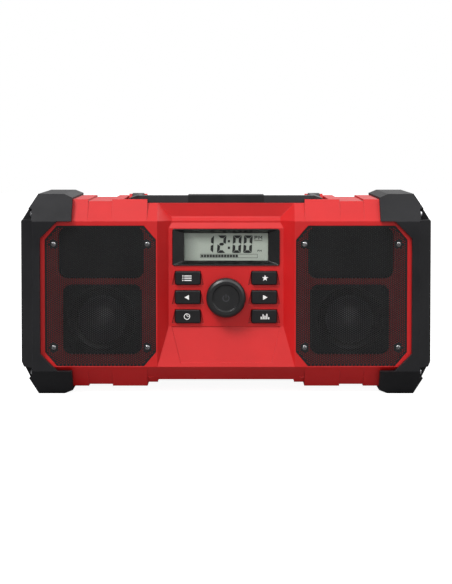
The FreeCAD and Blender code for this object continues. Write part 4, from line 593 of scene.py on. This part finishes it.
NODE_FINISH = {
    "red": ("front_housing", "rear_housing"),
    "rubber": ("bumper_left", "bumper_right"),
    "black": (
        "baffle_left", "baffle_right", "tuning_knob", "battery_terminals", "socket_panel", "antenna_clips",
        "encoder_plunger", "socket_door", "key_mat",
    ),
    "bezel": ("display_bezel",),
    "key": tuple("key_" + key.value for key in SideKey),
    "handle": ("handle_frame",),
    "grip": ("handle_grip",),
    "surround": ("speaker_surround_left", "speaker_surround_right"),
    "basket": ("speaker_frame_left", "speaker_frame_right"),
    "light_box": ("display_light_box",),
    "ferrite": ("speaker_magnet_left", "speaker_magnet_right", "ferrite_antenna"),
    "cone": ("speaker_cone_left", "speaker_cone_right", "dust_cap_left", "dust_cap_right"),
    "steel": (
        "encoder_body", "encoder_shaft", "grille_screws", "end_cap_screws", "door_pin", "handle_pins",
        "power_port",
    ),
    "dark_steel": ("case_screws", "driver_screws"),
    "aluminium": ("voice_coil_left", "voice_coil_right", "heat_sink", "board_capacitors"),
    "brass": ("audio_jack", "battery_blades"),
    "lcd": ("lcd_panel",),
    "window": ("display_window",),
    "board": ("control_board", "main_board"),
}


def dress_nodes(finishes: Finishes) -> None:
    """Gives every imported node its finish.

    Args:
        finishes: The radio's finishes.
    """
    for finish, names in NODE_FINISH.items():
        for name in names:
            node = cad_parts[name]
            if not node.material_slots:
                node.data.materials.append(None)
            for place in node.material_slots:
                place.material = getattr(finishes, finish)
            LOG.info("dressed %s in %s", name, finish)


def solid_mesh(name: str, build: BMesh) -> Mesh:
    """Turns a mesh that was built point by point into data, with its faces outwards.

    Args:
        name: The data's name.
        build: The mesh, which is freed.

    Returns:
        The data.
    """
    bmesh.ops.recalc_face_normals(build, faces=build.faces)
    data = bpy.data.meshes.new(name)
    build.to_mesh(data)
    build.free()
    return data


def linked(name: str, data: Mesh, material: Material) -> Object:
    """Makes an object of a mesh, in its finish, and links it to the scene.

    Args:
        name: The object's name.
        data: Its mesh.
        material: Its finish.

    Returns:
        The object.
    """
    piece = bpy.data.objects.new(name, data)
    piece.data.materials.append(material)
    bpy.context.scene.collection.objects.link(piece)
    return piece


def new_piece(
    name: str, points: list[Vector], faces: list[tuple[int, ...]], material: Material, body: str
) -> Object:
    """Makes a mesh object, in the radio's frame, and lets it ride on a body.

    Args:
        name: The piece's name.
        points: Its points, in metres.
        faces: Its faces, by the points' numbers.
        material: Its finish.
        body: The body that it moves with.

    Returns:
        The object.
    """
    data = bpy.data.meshes.new(name)
    data.from_pydata(points, [], faces)
    data.update()
    piece = linked(name, data, material)
    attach(piece, body)
    return piece


class Printing:
    """Flat shapes on a plane that faces the front, gathered into one thin piece."""

    TURNS = 36

    def __init__(self, front: float, thick: float) -> None:
        """Starts with nothing drawn.

        Args:
            front: Depth of the shapes' front face, in millimetres.
            thick: How thick they are, in millimetres.
        """
        self.front = front
        self.thick = thick
        self.points: list[Vector] = []
        self.faces: list[tuple[int, ...]] = []

    def shape(self, outline: list[Point]) -> None:
        """Adds a filled outline.

        Args:
            outline: Its points across and up, in millimetres, seen from the front.
        """
        first = len(self.points)
        count = len(outline)
        for depth in (self.front, self.front + self.thick):
            self.points += [Vector((x * MM, depth * MM, z * MM)) for x, z in outline]
        self.faces.append(tuple(range(first, first + count)))
        self.faces.append(tuple(reversed(range(first + count, first + 2 * count))))
        for index in range(count):
            after = (index + 1) % count
            self.faces.append((first + after, first + index, first + count + index, first + count + after))

    def band(self, inner: list[Point], outer: list[Point], closed: bool = True) -> None:
        """Adds the strip between two lines of as many points.

        Args:
            inner: One line.
            outer: The other line.
            closed: Whether the last points join the first.
        """
        count = len(inner)
        for index in range(count if closed else count - 1):
            after = (index + 1) % count
            self.shape([inner[index], inner[after], outer[after], outer[index]])

    def box(self, x0: float, z0: float, x1: float, z1: float) -> None:
        """Adds an upright rectangle."""
        self.shape([(x0, z0), (x1, z0), (x1, z1), (x0, z1)])

    def frame(self, x0: float, z0: float, x1: float, z1: float, line: float) -> None:
        """Adds a rectangle's outline.

        Args:
            x0: Its left.
            z0: Its foot.
            x1: Its right.
            z1: Its top.
            line: How wide its lines are.
        """
        outer = [(x0, z0), (x1, z0), (x1, z1), (x0, z1)]
        signs = [(1, 1), (-1, 1), (-1, -1), (1, -1)]
        inner = [(x + a * line, z + b * line) for (x, z), (a, b) in zip(outer, signs, strict=True)]
        self.band(inner, outer)

    def ring(
        self, x: float, z: float, radius: float, line: float, start: float = 0.0, end: float = 360.0
    ) -> None:
        """Adds a round line, whole or in part.

        Args:
            x: Its middle, across.
            z: Its middle, up.
            radius: Its outer radius.
            line: How wide it is.
            start: Where it starts, in degrees from the right.
            end: Where it ends.
        """
        whole = end - start >= 360
        steps = range(self.TURNS if whole else self.TURNS + 1)
        angles = [math.radians(start + (end - start) * step / self.TURNS) for step in steps]
        outer = [(x + radius * math.cos(a), z + radius * math.sin(a)) for a in angles]
        inner = [(x + (radius - line) * math.cos(a), z + (radius - line) * math.sin(a)) for a in angles]
        self.band(inner, outer, whole)

    def finish(self, name: str, material: Material, body: str) -> Object:
        """Makes the piece and returns it."""
        return new_piece(name, self.points, self.faces, material, body)


@dataclass
class Grille:
    """One perforated steel grille, on the outline and the sheet of its node."""

    side: Side
    inner: float = 70.05
    outer: float = 180.45
    low: float = 28.95
    high: float = 169.05
    across: float = 12.0
    up: float = 14.0
    front: float = -80.0
    thick: float = 1.0
    pitch: float = 2.15
    hole: float = 0.79
    rim: float = 0.5
    screw_clear: float = 3.4
    corner_share: float = 0.45
    screw_across: Point = (78.4, 172.1)
    screw_up: Point = (47.3, 150.7)

    @property
    def screws(self) -> list[Point]:
        """The screws' middles, across and up."""
        return [(x, z) for x in self.screw_across for z in self.screw_up]

    def outline(self, inset: float) -> list[Point]:
        """The octagon's corners, in order round it.

        Args:
            inset: How far it is moved inwards, in millimetres.

        Returns:
            The corners, across and up.
        """
        inner, outer = self.inner + inset, self.outer - inset
        low, high = self.low + inset, self.high - inset
        less = inset * self.corner_share
        across, up = self.across - less, self.up - less
        return [
            (inner + across, low),
            (outer - across, low),
            (outer, low + up),
            (outer, high - up),
            (outer - across, high),
            (inner + across, high),
            (inner, high - up),
            (inner, low + up),
        ]

    @staticmethod
    def inside(point: Point, outline: list[Point]) -> bool:
        """Tells whether a point lies within a convex outline.

        Args:
            point: The point, across and up.
            outline: The outline's corners, in order.

        Returns:
            True inside and on the outline.
        """
        for index, start in enumerate(outline):
            end = outline[(index + 1) % len(outline)]
            across, up = end[0] - start[0], end[1] - start[1]
            if across * (point[1] - start[1]) - up * (point[0] - start[0]) < 0:
                return False
        return True

    @staticmethod
    def clipped(shape: list[Point], outline: list[Point]) -> list[Point]:
        """Cuts a convex shape to a convex outline.

        Args:
            shape: The shape's corners, in order.
            outline: The outline's corners, in order.

        Returns:
            The corners of what is left, or none.
        """
        for index, start in enumerate(outline):
            end = outline[(index + 1) % len(outline)]
            along = (end[0] - start[0], end[1] - start[1])
            kept: list[Point] = []
            for place, here in enumerate(shape):
                after = shape[(place + 1) % len(shape)]
                this = along[0] * (here[1] - start[1]) - along[1] * (here[0] - start[0])
                that = along[0] * (after[1] - start[1]) - along[1] * (after[0] - start[0])
                if this >= 0:
                    kept.append(here)
                if (this >= 0) != (that >= 0):
                    share = this / (this - that)
                    x = here[0] + (after[0] - here[0]) * share
                    kept.append((x, here[1] + (after[1] - here[1]) * share))
            shape = kept
            if len(shape) < 3:
                return []
        return shape

    def is_clear(self, shape: list[Point], margin: list[Point]) -> bool:
        """Tells whether a hole may go in a cell: within the rim and away from the screws.

        Args:
            shape: The cell's corners.
            margin: The outline that holes keep within.

        Returns:
            True where a hole may go.
        """
        if not all(self.inside(point, margin) for point in shape):
            return False
        return all(math.hypot(x - a, z - b) > self.screw_clear for x, z in shape for a, b in self.screws)

    def build(self, material: Material) -> Object:
        """Makes the grille in place of its node.

        Args:
            material: Its finish.

        Returns:
            The piece.
        """
        mesh = bmesh.new()
        made: dict[tuple[int, int, int], BMVert] = {}
        sign = self.side.value

        def corner(point: Point, back: bool) -> BMVert:
            """Finds or makes the mesh's point.

            Args:
                point: Where it lies, across and up.
                back: Whether it lies on the sheet's back.

            Returns:
                The point, made once.
            """
            key = (round(point[0] * 1000), round(point[1] * 1000), int(back))
            if key not in made:
                depth = self.front + (self.thick if back else 0.0)
                made[key] = mesh.verts.new((sign * point[0] * MM, depth * MM, point[1] * MM))
            return made[key]

        def face(shape: list[Point], back: bool) -> None:
            """Adds a face of the sheet, once.

            Args:
                shape: Its corners.
                back: Whether it lies on the sheet's back.
            """
            corners = [corner(point, back) for point in shape]
            if len(set(corners)) == len(corners) and len(corners) > 2:
                if mesh.faces.get(corners) is None:
                    mesh.faces.new(corners)

        border = self.outline(0.0)
        margin = self.outline(self.rim)
        corner_turns = [math.radians(60 * turn) for turn in range(6)]
        step_x = self.pitch * 1.5 / math.sqrt(3)
        reach = self.pitch / math.sqrt(3)
        columns = int((self.outer - self.inner) / step_x) + 3
        rows = int((self.high - self.low) / self.pitch) + 3
        for column in range(-1, columns):
            for row in range(-1, rows):
                x = self.inner + column * step_x
                z = self.low + row * self.pitch + (self.pitch / 2 if column % 2 else 0.0)
                cell = [(x + reach * math.cos(a), z + reach * math.sin(a)) for a in corner_turns]
                ring = [(x + self.hole * math.cos(a), z + self.hole * math.sin(a)) for a in corner_turns]
                if self.is_clear(cell, margin):
                    for index in range(6):
                        after = (index + 1) % 6
                        quad = [cell[index], cell[after], ring[after], ring[index]]
                        face(quad, False)
                        face(list(reversed(quad)), True)
                        wall = (corner(ring[index], False), corner(ring[after], False))
                        mesh.faces.new((*wall, corner(ring[after], True), corner(ring[index], True)))
                else:
                    shape = self.clipped(cell, border)
                    if shape:
                        face(shape, False)
                        face(list(reversed(shape)), True)
        for index, start in enumerate(border):
            end = border[(index + 1) % len(border)]
            mesh.faces.new((corner(start, False), corner(end, False), corner(end, True), corner(start, True)))
        name = "grille_sheet_" + self.side.word
        piece = linked(name, solid_mesh(name, mesh), material)
        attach(piece, "chassis")
        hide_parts("grille_" + self.side.word)
        return piece


@dataclass
class GrilleScrew:
    """A pan head screw with a cross recess, which holds a grille's corner to the housing."""

    head_radius: float = 2.5
    crown: float = 0.9
    brim: float = 0.45
    slot_long: float = 1.55
    slot_half: float = 0.42
    slot_deep: float = 0.7
    slot_taper: float = 0.7
    crown_share: float = 0.82
    turns: int = 32
    rings: int = 5
    first_twist: float = 0.35
    next_twist: float = 0.7

    def head(self, mesh: BMesh, x: float, seat: float, z: float, twist: float) -> None:
        """Adds one head whose underside lies at seat.

        Args:
            mesh: The mesh that takes it.
            x: Its middle, across, in millimetres.
            seat: Depth of the face that it lies on.
            z: Its middle, up.
            twist: How far it is turned, in radians.
        """
        rings = [(self.head_radius, seat), (self.head_radius, seat - self.brim)]
        for step in range(1, self.rings + 1):
            angle = math.radians(90 * step / self.rings)
            radius = self.head_radius * math.cos(angle * self.crown_share)
            rings.append((radius, seat - self.brim - self.crown * math.sin(angle)))
        angles = [twist + 2 * math.pi * (turn + 0.5) / self.turns for turn in range(self.turns)]
        rows = []
        for radius, depth in rings:
            spots = [(x + radius * math.cos(angle), z + radius * math.sin(angle)) for angle in angles]
            rows.append([mesh.verts.new((across * MM, depth * MM, up * MM)) for across, up in spots])
        for before, after in zip(rows, rows[1:]):
            for turn in range(self.turns):
                onward = (turn + 1) % self.turns
                mesh.faces.new((before[turn], before[onward], after[onward], after[turn]))
        mesh.faces.new(list(reversed(rows[0])))
        self.recess(mesh, rows[-1], x, rings[-1][1], z, twist)

    def recess(self, mesh: BMesh, rim: list[BMVert], x: float, top: float, z: float, twist: float) -> None:
        """Closes the crown with a face that is sunk along a cross.

        Args:
            mesh: The mesh that takes it.
            rim: The crown's last ring of points.
            x: The head's middle, across.
            top: Depth of the crown's face.
            z: The head's middle, up.
            twist: How far the head is turned.
        """
        short, long = self.slot_half, self.slot_long
        cross: list[Point] = []
        for part in range(4):
            turned = twist + math.pi / 2 * part
            cosine, sine = math.cos(turned), math.sin(turned)
            for across, up in ((long, -short), (long, short), (short, short)):
                cross.append((across * cosine - up * sine, across * sine + up * cosine))
        upper = [mesh.verts.new(((x + a) * MM, top * MM, (z + b) * MM)) for a, b in cross]
        low, taper = (top + self.slot_deep) * MM, self.slot_taper
        lower = [mesh.verts.new(((x + a * taper) * MM, low, (z + b * taper) * MM)) for a, b in cross]
        count = len(cross)
        for index in range(count):
            after = (index + 1) % count
            mesh.faces.new((upper[index], upper[after], lower[after], lower[index]))
        mesh.faces.new(lower)
        step = self.turns // 4
        for part in range(4):
            first = part * 3
            fan = [upper[first], upper[first + 1], upper[first + 2], upper[(first + 3) % count]]
            arc = [rim[(part * step + offset) % self.turns] for offset in range(step + 1)]
            mesh.faces.new([fan[0], arc[0], arc[1], fan[1]])
            mesh.faces.new([fan[1], *arc[1:step], fan[2]])
            mesh.faces.new([fan[2], arc[step - 1], arc[step], fan[3]])

    def build(self, material: Material, spots: list[Point], seat: float) -> Object:
        """Makes all the heads in place of their node.

        Args:
            material: Their finish.
            spots: Their middles, across and up, in millimetres.
            seat: Depth of the grilles' front, in millimetres.

        Returns:
            The piece.
        """
        mesh = bmesh.new()
        for index, (x, z) in enumerate(spots):
            self.head(mesh, x, seat, z, self.first_twist + index * self.next_twist)
        data = solid_mesh("grille_screw_heads", mesh)
        for polygon in data.polygons:
            polygon.use_smooth = len(polygon.vertices) == 4
        piece = linked("grille_screw_heads", data, material)
        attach(piece, "chassis")
        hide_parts("grille_screws")
        return piece


@dataclass
class Display:
    """The reading on the liquid crystal glass, and the clear window over it."""

    thick: float = 0.12
    stroke: float = 2.8
    digit_wide: float = 8.6
    digit_low: float = 141.0
    digit_high: float = 158.7
    starts: tuple[float, ...] = (-21.6, -9.2, 6.2, 17.2)
    slant: float = 0.06
    reading: str = "1200"
    gap: float = 0.22
    colon: Point = (1.8, 4.0)
    colon_heights: Point = (146.2, 152.8)
    colon_half: float = 1.2
    level: Ramp = (-26.0, 136.0, 31.7, 140.0)
    level_line: float = 0.35
    bars: int = 13
    bar_start: float = -25.2
    bar_step: float = 2.9
    bar_gap: float = 0.55
    bar_heights: Point = (136.8, 139.2)
    pane_gap: float = 0.3
    pane_chamfer: float = 0.4

    SEGMENTS = {"0": "abcdef", "1": "bc", "2": "abged"}

    def segment(self, letter: str) -> list[Point]:
        """Outlines one segment of a digit whose lower left corner is the origin.

        Args:
            letter: The segment, a to g in the usual order.

        Returns:
            Its corners.
        """
        wide, tall, line = self.digit_wide, self.digit_high - self.digit_low, self.stroke
        half, gap = tall / 2, self.gap
        tip = line * 0.5
        upright = {
            "f": (0.0, half, tall),
            "b": (wide, half, tall),
            "e": (0.0, 0.0, half),
            "c": (wide, 0.0, half),
        }
        if letter in upright:
            x, low, high = upright[letter]
            inner = x + line if x == 0 else x - line
            cut_low = line if low == 0 else tip
            cut_high = line if high == tall else tip
            low, high = low + gap, high - gap
            return [(x, low), (x, high), (inner, high - cut_high), (inner, low + cut_low)]
        low = {"a": tall - line, "d": 0.0, "g": half - tip}[letter]
        if letter == "g":
            return [
                (gap + tip, half),
                (gap + line, low),
                (wide - gap - line, low),
                (wide - gap - tip, half),
                (wide - gap - line, low + line),
                (gap + line, low + line),
            ]
        near, far = (gap, gap + line) if letter == "d" else (gap + line, gap)
        return [(near, low), (wide - near, low), (wide - far, low + line), (far, low + line)]

    def build(self, finishes: Finishes) -> list[Object]:
        """Makes the reading and the window.

        Args:
            finishes: The radio's finishes.

        Returns:
            The pieces.
        """
        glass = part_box("lcd_panel")[0][1] / MM
        ink = Printing(glass - self.thick, self.thick)
        for start, digit in zip(self.starts, self.reading, strict=True):
            for letter in self.SEGMENTS[digit]:
                ink.shape([(start + x + z * self.slant, self.digit_low + z) for x, z in self.segment(letter)])
        left, right = self.colon
        for height in self.colon_heights:
            ink.box(left, height - self.colon_half, right, height + self.colon_half)
        self.add_level(ink)
        self.add_marks(ink)
        reading = ink.finish("display_reading", finishes.digit, "chassis")
        return [reading, self.build_window(finishes.window)]

    def add_level(self, ink: Printing) -> None:
        """Draws the bar graph under the digits.

        Args:
            ink: What it is drawn with.
        """
        ink.frame(*self.level, self.level_line)
        low, high = self.bar_heights
        for index in range(self.bars):
            x = self.bar_start + index * self.bar_step
            ink.box(x, low, x + self.bar_step - self.bar_gap, high)

    def add_marks(self, ink: Printing) -> None:
        """Draws a clock's afternoon mark beside the digits, large above and small below.

        Args:
            ink: What it is drawn with.
        """
        self.afternoon(ink, 28.6, 154.6, 3.6, 0.75)
        ink.box(28.4, 153.2, 36.6, 153.6)
        self.afternoon(ink, 31.6, 142.2, 2.0, 0.42)

    @staticmethod
    def afternoon(ink: Printing, x: float, z: float, tall: float, line: float) -> None:
        """Adds the letters P and M.

        Args:
            ink: What they are drawn with.
            x: Their left end.
            z: Their foot.
            tall: How tall they are.
            line: How wide their strokes are.
        """
        wide = tall * 0.85
        ink.box(x, z, x + line, z + tall)
        ink.frame(x, z + tall * 0.42, x + wide, z + tall, line)
        left = x + wide + line * 1.2
        right = left + tall * 1.05
        middle = (left + right) / 2
        for side in (left, right - line):
            ink.box(side, z, side + line, z + tall)
        head, foot = z + tall, z + tall * 0.4
        for side, lean in ((left, line), (right, -line)):
            end = middle + lean / 2
            ink.shape([(side, head), (side + lean, head), (end, foot), (end - lean, foot)])

    def build_window(self, material: Material) -> Object:
        """Makes the window, a pane with a small chamfer all round, in place of its node.

        Args:
            material: Its finish.

        Returns:
            The piece.
        """
        low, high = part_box("display_window")
        front, back, cut = low[1], high[1] - self.pane_gap * MM, self.pane_chamfer * MM
        points: list[Vector] = []
        for depth, inset in ((front, cut), (front + cut, 0.0), (back, 0.0)):
            x0, x1, z0, z1 = low[0] + inset, high[0] - inset, low[2] + inset, high[2] - inset
            points += [Vector((x, depth, z)) for x, z in ((x0, z0), (x1, z0), (x1, z1), (x0, z1))]
        faces: list[tuple[int, ...]] = [(0, 1, 2, 3), (11, 10, 9, 8)]
        for layer in (0, 4):
            for index in range(4):
                after = (index + 1) % 4
                faces.append((layer + after, layer + index, layer + 4 + index, layer + 4 + after))
        piece = new_piece("display_pane", points, faces, material, "chassis")
        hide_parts("display_window")
        return piece


@dataclass
class KeyMarks:
    """The printed mark on each key, which moves with it."""

    thick: float = 0.1
    off_middle: float = 0.8
    arrow_tip: float = 2.6
    arrow_foot: float = 2.0
    arrow_half: float = 2.5
    rows: tuple[float, ...] = (-2.2, 0.0, 2.2)
    row_left: float = -2.6
    row_half: float = 0.5
    dot: Point = (-4.6, -3.5)
    dot_half: float = 0.55
    row_right: float = 4.6
    clock_radius: float = 3.1
    clock_line: float = 0.7
    minute_hand: float = 2.1
    minute_tail: float = 0.3
    hour_hand: float = 1.7
    level_heights: tuple[float, ...] = (2.6, 4.8, 3.6, 5.4, 2.2)
    level_left: float = -4.4
    level_step: float = 1.9
    level_wide: float = 1.1
    level_foot: float = -2.7
    star_tip: float = 3.3
    star_waist: float = 1.4

    def spot(self, key: SideKey) -> tuple[float, float, float]:
        """Finds where a key's mark goes, from its box.

        Args:
            key: Which key.

        Returns:
            The mark's middle across and up, and the depth of the key's face, in millimetres.
        """
        low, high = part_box("key_" + key.value)
        across = (low[0] + high[0]) / 2 / MM
        shift = -self.off_middle if across < 0 else self.off_middle
        return (across + shift, (low[2] + high[2]) / 2 / MM, low[1] / MM)

    def build(self, key: SideKey, material: Material) -> Object:
        """Prints one key's mark.

        Args:
            key: Which key.
            material: The print's finish.

        Returns:
            The piece.
        """
        x, z, face = self.spot(key)
        ink = Printing(face - self.thick, self.thick)
        if key in (SideKey.BACK, SideKey.ONWARD):
            way = -1 if key is SideKey.BACK else 1
            foot, half = x - way * self.arrow_foot, way * self.arrow_half
            ink.shape([(x + way * self.arrow_tip, z), (foot, z + half), (foot, z - half)])
        elif key is SideKey.LIST:
            for rise in self.rows:
                middle = z + rise
                ink.box(x + self.dot[0], middle - self.dot_half, x + self.dot[1], middle + self.dot_half)
                ink.box(x + self.row_left, middle - self.row_half, x + self.row_right, middle + self.row_half)
        elif key is SideKey.STAR:
            self.star(ink, x, z)
        elif key is SideKey.CLOCK:
            half = self.clock_line / 2
            ink.ring(x, z, self.clock_radius, self.clock_line)
            ink.box(x - half, z - self.minute_tail, x + half, z + self.minute_hand)
            ink.box(x - half, z - half, x + self.hour_hand, z + half)
        else:
            foot = z + self.level_foot
            for index, tall in enumerate(self.level_heights):
                left = x + self.level_left + index * self.level_step
                ink.box(left, foot, left + self.level_wide, foot + tall)
        piece = ink.finish("print_" + key.value, material, "key_" + key.value)
        LOG.info("printed the mark of key %s", key.value)
        return piece

    def star(self, ink: Printing, x: float, z: float) -> None:
        """Draws a five-pointed star, as triangles about its middle.

        Args:
            ink: What it is drawn with.
            x: Its middle, across.
            z: Its middle, up.
        """
        points = []
        for turn in range(10):
            radius = self.star_waist if turn % 2 else self.star_tip
            angle = math.radians(90 + 36 * turn)
            points.append((x + radius * math.cos(angle), z + radius * math.sin(angle)))
        for turn in range(10):
            ink.shape([(x, z), points[turn], points[(turn + 1) % 10]])


@dataclass
class KnobMark:
    """The faint on and off mark in the knob's dish."""

    dish: float = -83.0
    height: float = 97.0
    thick: float = 0.08
    radius: float = 3.4
    line: float = 0.7
    opening: Point = (125.0, 415.0)
    stroke: Point = (0.6, 4.0)

    def build(self, material: Material) -> Object:
        """Prints the mark in the dish.

        Args:
            material: The print's finish.

        Returns:
            The piece.
        """
        ink = Printing(self.dish - self.thick, self.thick)
        ink.ring(0.0, self.height, self.radius, self.line, *self.opening)
        low, high = self.stroke
        ink.box(-self.line / 2, self.height + low, self.line / 2, self.height + high)
        return ink.finish("print_knob", material, "tuning_knob")


@dataclass(frozen=True)
class Lamp:
    """A distant, soft lamp, which glossy faces may see or not."""

    name: str
    azimuth: float
    elevation: float
    power: float
    spread: float
    glossy: bool

    def build(self, scene: Scene) -> None:
        """Adds the lamp.

        Args:
            scene: The scene.
        """
        data = bpy.data.lights.new(self.name, "SUN")
        data.energy = self.power
        data.angle = math.radians(self.spread)
        lamp = bpy.data.objects.new(self.name, data)
        lamp.visible_glossy = self.glossy
        turn, rise = math.radians(self.azimuth), math.radians(self.elevation)
        level = math.cos(rise)
        towards = Vector((math.sin(turn) * level, -math.cos(turn) * level, math.sin(rise)))
        lamp.rotation_euler = towards.to_track_quat("Z", "Y").to_euler()
        scene.collection.objects.link(lamp)


@dataclass
class Studio:
    """The white floor, the soft light and the camera."""

    distance: float = 1.8
    front: float = -0.081
    camera_height: float = 0.2605
    middle_height: float = 0.1031
    enlarge: float = 1.006
    pitch: float = 2.5
    frame_height: float = 0.584
    sensor: float = 36.0
    gloss_across: Ramp = (-0.8, 0.9, 0.12, 1.9)
    gloss_up: Ramp = (-0.05, 0.75, 0.2, 1.8)
    ambient_up: Ramp = (-0.5, 0.9, 0.42, 0.54)
    floor_half: float = 6.0
    floor_glow: float = 0.94
    paper: Colour = (0.3, 0.3, 0.3)
    paper_seen: Colour = (0.5, 0.5, 0.5)
    lamps: tuple[Lamp, ...] = (
        Lamp("key", azimuth=-42.0, elevation=50.0, power=2.35, spread=22.0, glossy=True),
        Lamp("fill", azimuth=6.0, elevation=4.0, power=0.9, spread=44.0, glossy=False),
    )

    def build(self) -> None:
        """Sets up everything that isn't part of the radio."""
        scene = bpy.context.scene
        scene.view_settings.view_transform = "Standard"
        self.build_world(scene)
        self.build_floor(scene)
        for lamp in self.lamps:
            lamp.build(scene)
        self.build_camera(scene)

    def build_world(self, scene: Scene) -> None:
        """Makes a white surround, which glossy faces see darker on the left and below.

        Args:
            scene: The scene.
        """
        world = bpy.data.worlds.new("studio")
        scene.world = world
        world.use_nodes = True
        tree = Tree(world.node_tree)
        place = tree.add("TexCoord")
        apart = tree.add("SeparateXYZ")
        tree.wire(place.outputs["Generated"], apart.inputs[0])
        rays = tree.add("LightPath")
        across = tree.stretch(apart.outputs["X"], *self.gloss_across, smooth=True)
        above = tree.stretch(apart.outputs["Z"], *self.gloss_up, smooth=True)
        glossy = tree.maths("MULTIPLY", across, above)
        diffuse = tree.stretch(apart.outputs["Z"], *self.ambient_up, smooth=True)
        chosen = tree.choose(rays.outputs["Is Glossy Ray"], diffuse, glossy)
        seen = tree.maths("MAXIMUM", rays.outputs["Is Camera Ray"], rays.outputs["Is Transmission Ray"])
        white = tree.choose(seen, chosen, 1.0)
        light = tree.add("Background", values={"Color": (1.0, 1.0, 1.0, 1.0)})
        tree.wire(white, light.inputs["Strength"])
        output = tree.add("OutputWorld")
        tree.wire(light.outputs[0], output.inputs["Surface"])

    def build_floor(self, scene: Scene) -> None:
        """Lays a wide white floor that keeps the radio's shadow.

        Args:
            scene: The scene.
        """
        mesh = bpy.data.meshes.new("floor")
        half = self.floor_half
        corners = [(-half, -half, 0), (half, -half, 0), (half, half, 0), (-half, half, 0)]
        mesh.from_pydata(corners, [], [(0, 1, 2, 3)])
        floor = bpy.data.objects.new("floor", mesh)
        scene.collection.objects.link(floor)
        graph = Graph("floor_paper")
        seen = graph.add("LightPath").outputs["Is Camera Ray"]
        paper = graph.add("BsdfDiffuse")
        graph.wire(graph.mix(seen, self.paper, self.paper_seen), paper.inputs[0])
        glow = graph.add("Emission", values={"Color": (1, 1, 1, 1)})
        graph.wire(graph.stretch(seen, 0.0, 1.0, 0.0, self.floor_glow), glow.inputs["Strength"])
        both = graph.add("AddShader")
        graph.wire(paper.outputs[0], both.inputs[0])
        graph.wire(glow.outputs[0], both.inputs[1])
        floor.data.materials.append(graph.close(both))

    def build_camera(self, scene: Scene) -> None:
        """Sets the photograph's camera, which looks slightly down from 1.8 metres in front.

        Args:
            scene: The scene.
        """
        data = bpy.data.cameras.new("camera")
        data.sensor_width = self.sensor
        pitch = math.radians(self.pitch)
        reach = self.distance * self.enlarge / self.frame_height
        data.lens = self.sensor * reach
        drop = (self.camera_height - self.middle_height) / self.distance
        data.shift_y = -math.tan(math.atan(drop) - pitch) * reach
        camera = bpy.data.objects.new("camera", data)
        camera.location = (0.0, self.front - self.distance, self.camera_height)
        camera.rotation_euler = (math.radians(90) - pitch, 0.0, 0.0)
        scene.collection.objects.link(camera)
        scene.camera = camera


def main() -> None:
    """Builds the radio's dressed model, piece by piece."""
    logging.basicConfig(level=logging.INFO, format="%(message)s")
    finishes = Finishes()
    dress_nodes(finishes)
    for side in Side:
        piece = Grille(side).build(finishes.grille)
        LOG.info("grille %s: %d faces", side.word, len(piece.data.polygons))
    sheet = Grille(Side.LEFT)
    spots = [(side.value * x, z) for side in Side for x, z in sheet.screws]
    heads = GrilleScrew().build(finishes.screw, spots, sheet.front)
    LOG.info("grille screws: %d faces", len(heads.data.polygons))
    for piece in Display().build(finishes):
        LOG.info("display piece %s", piece.name)
    marks = KeyMarks()
    for key in SideKey:
        marks.build(key, finishes.print)
    KnobMark().build(finishes.faint)
    Studio().build()


if __name__ == "__main__":
    main()
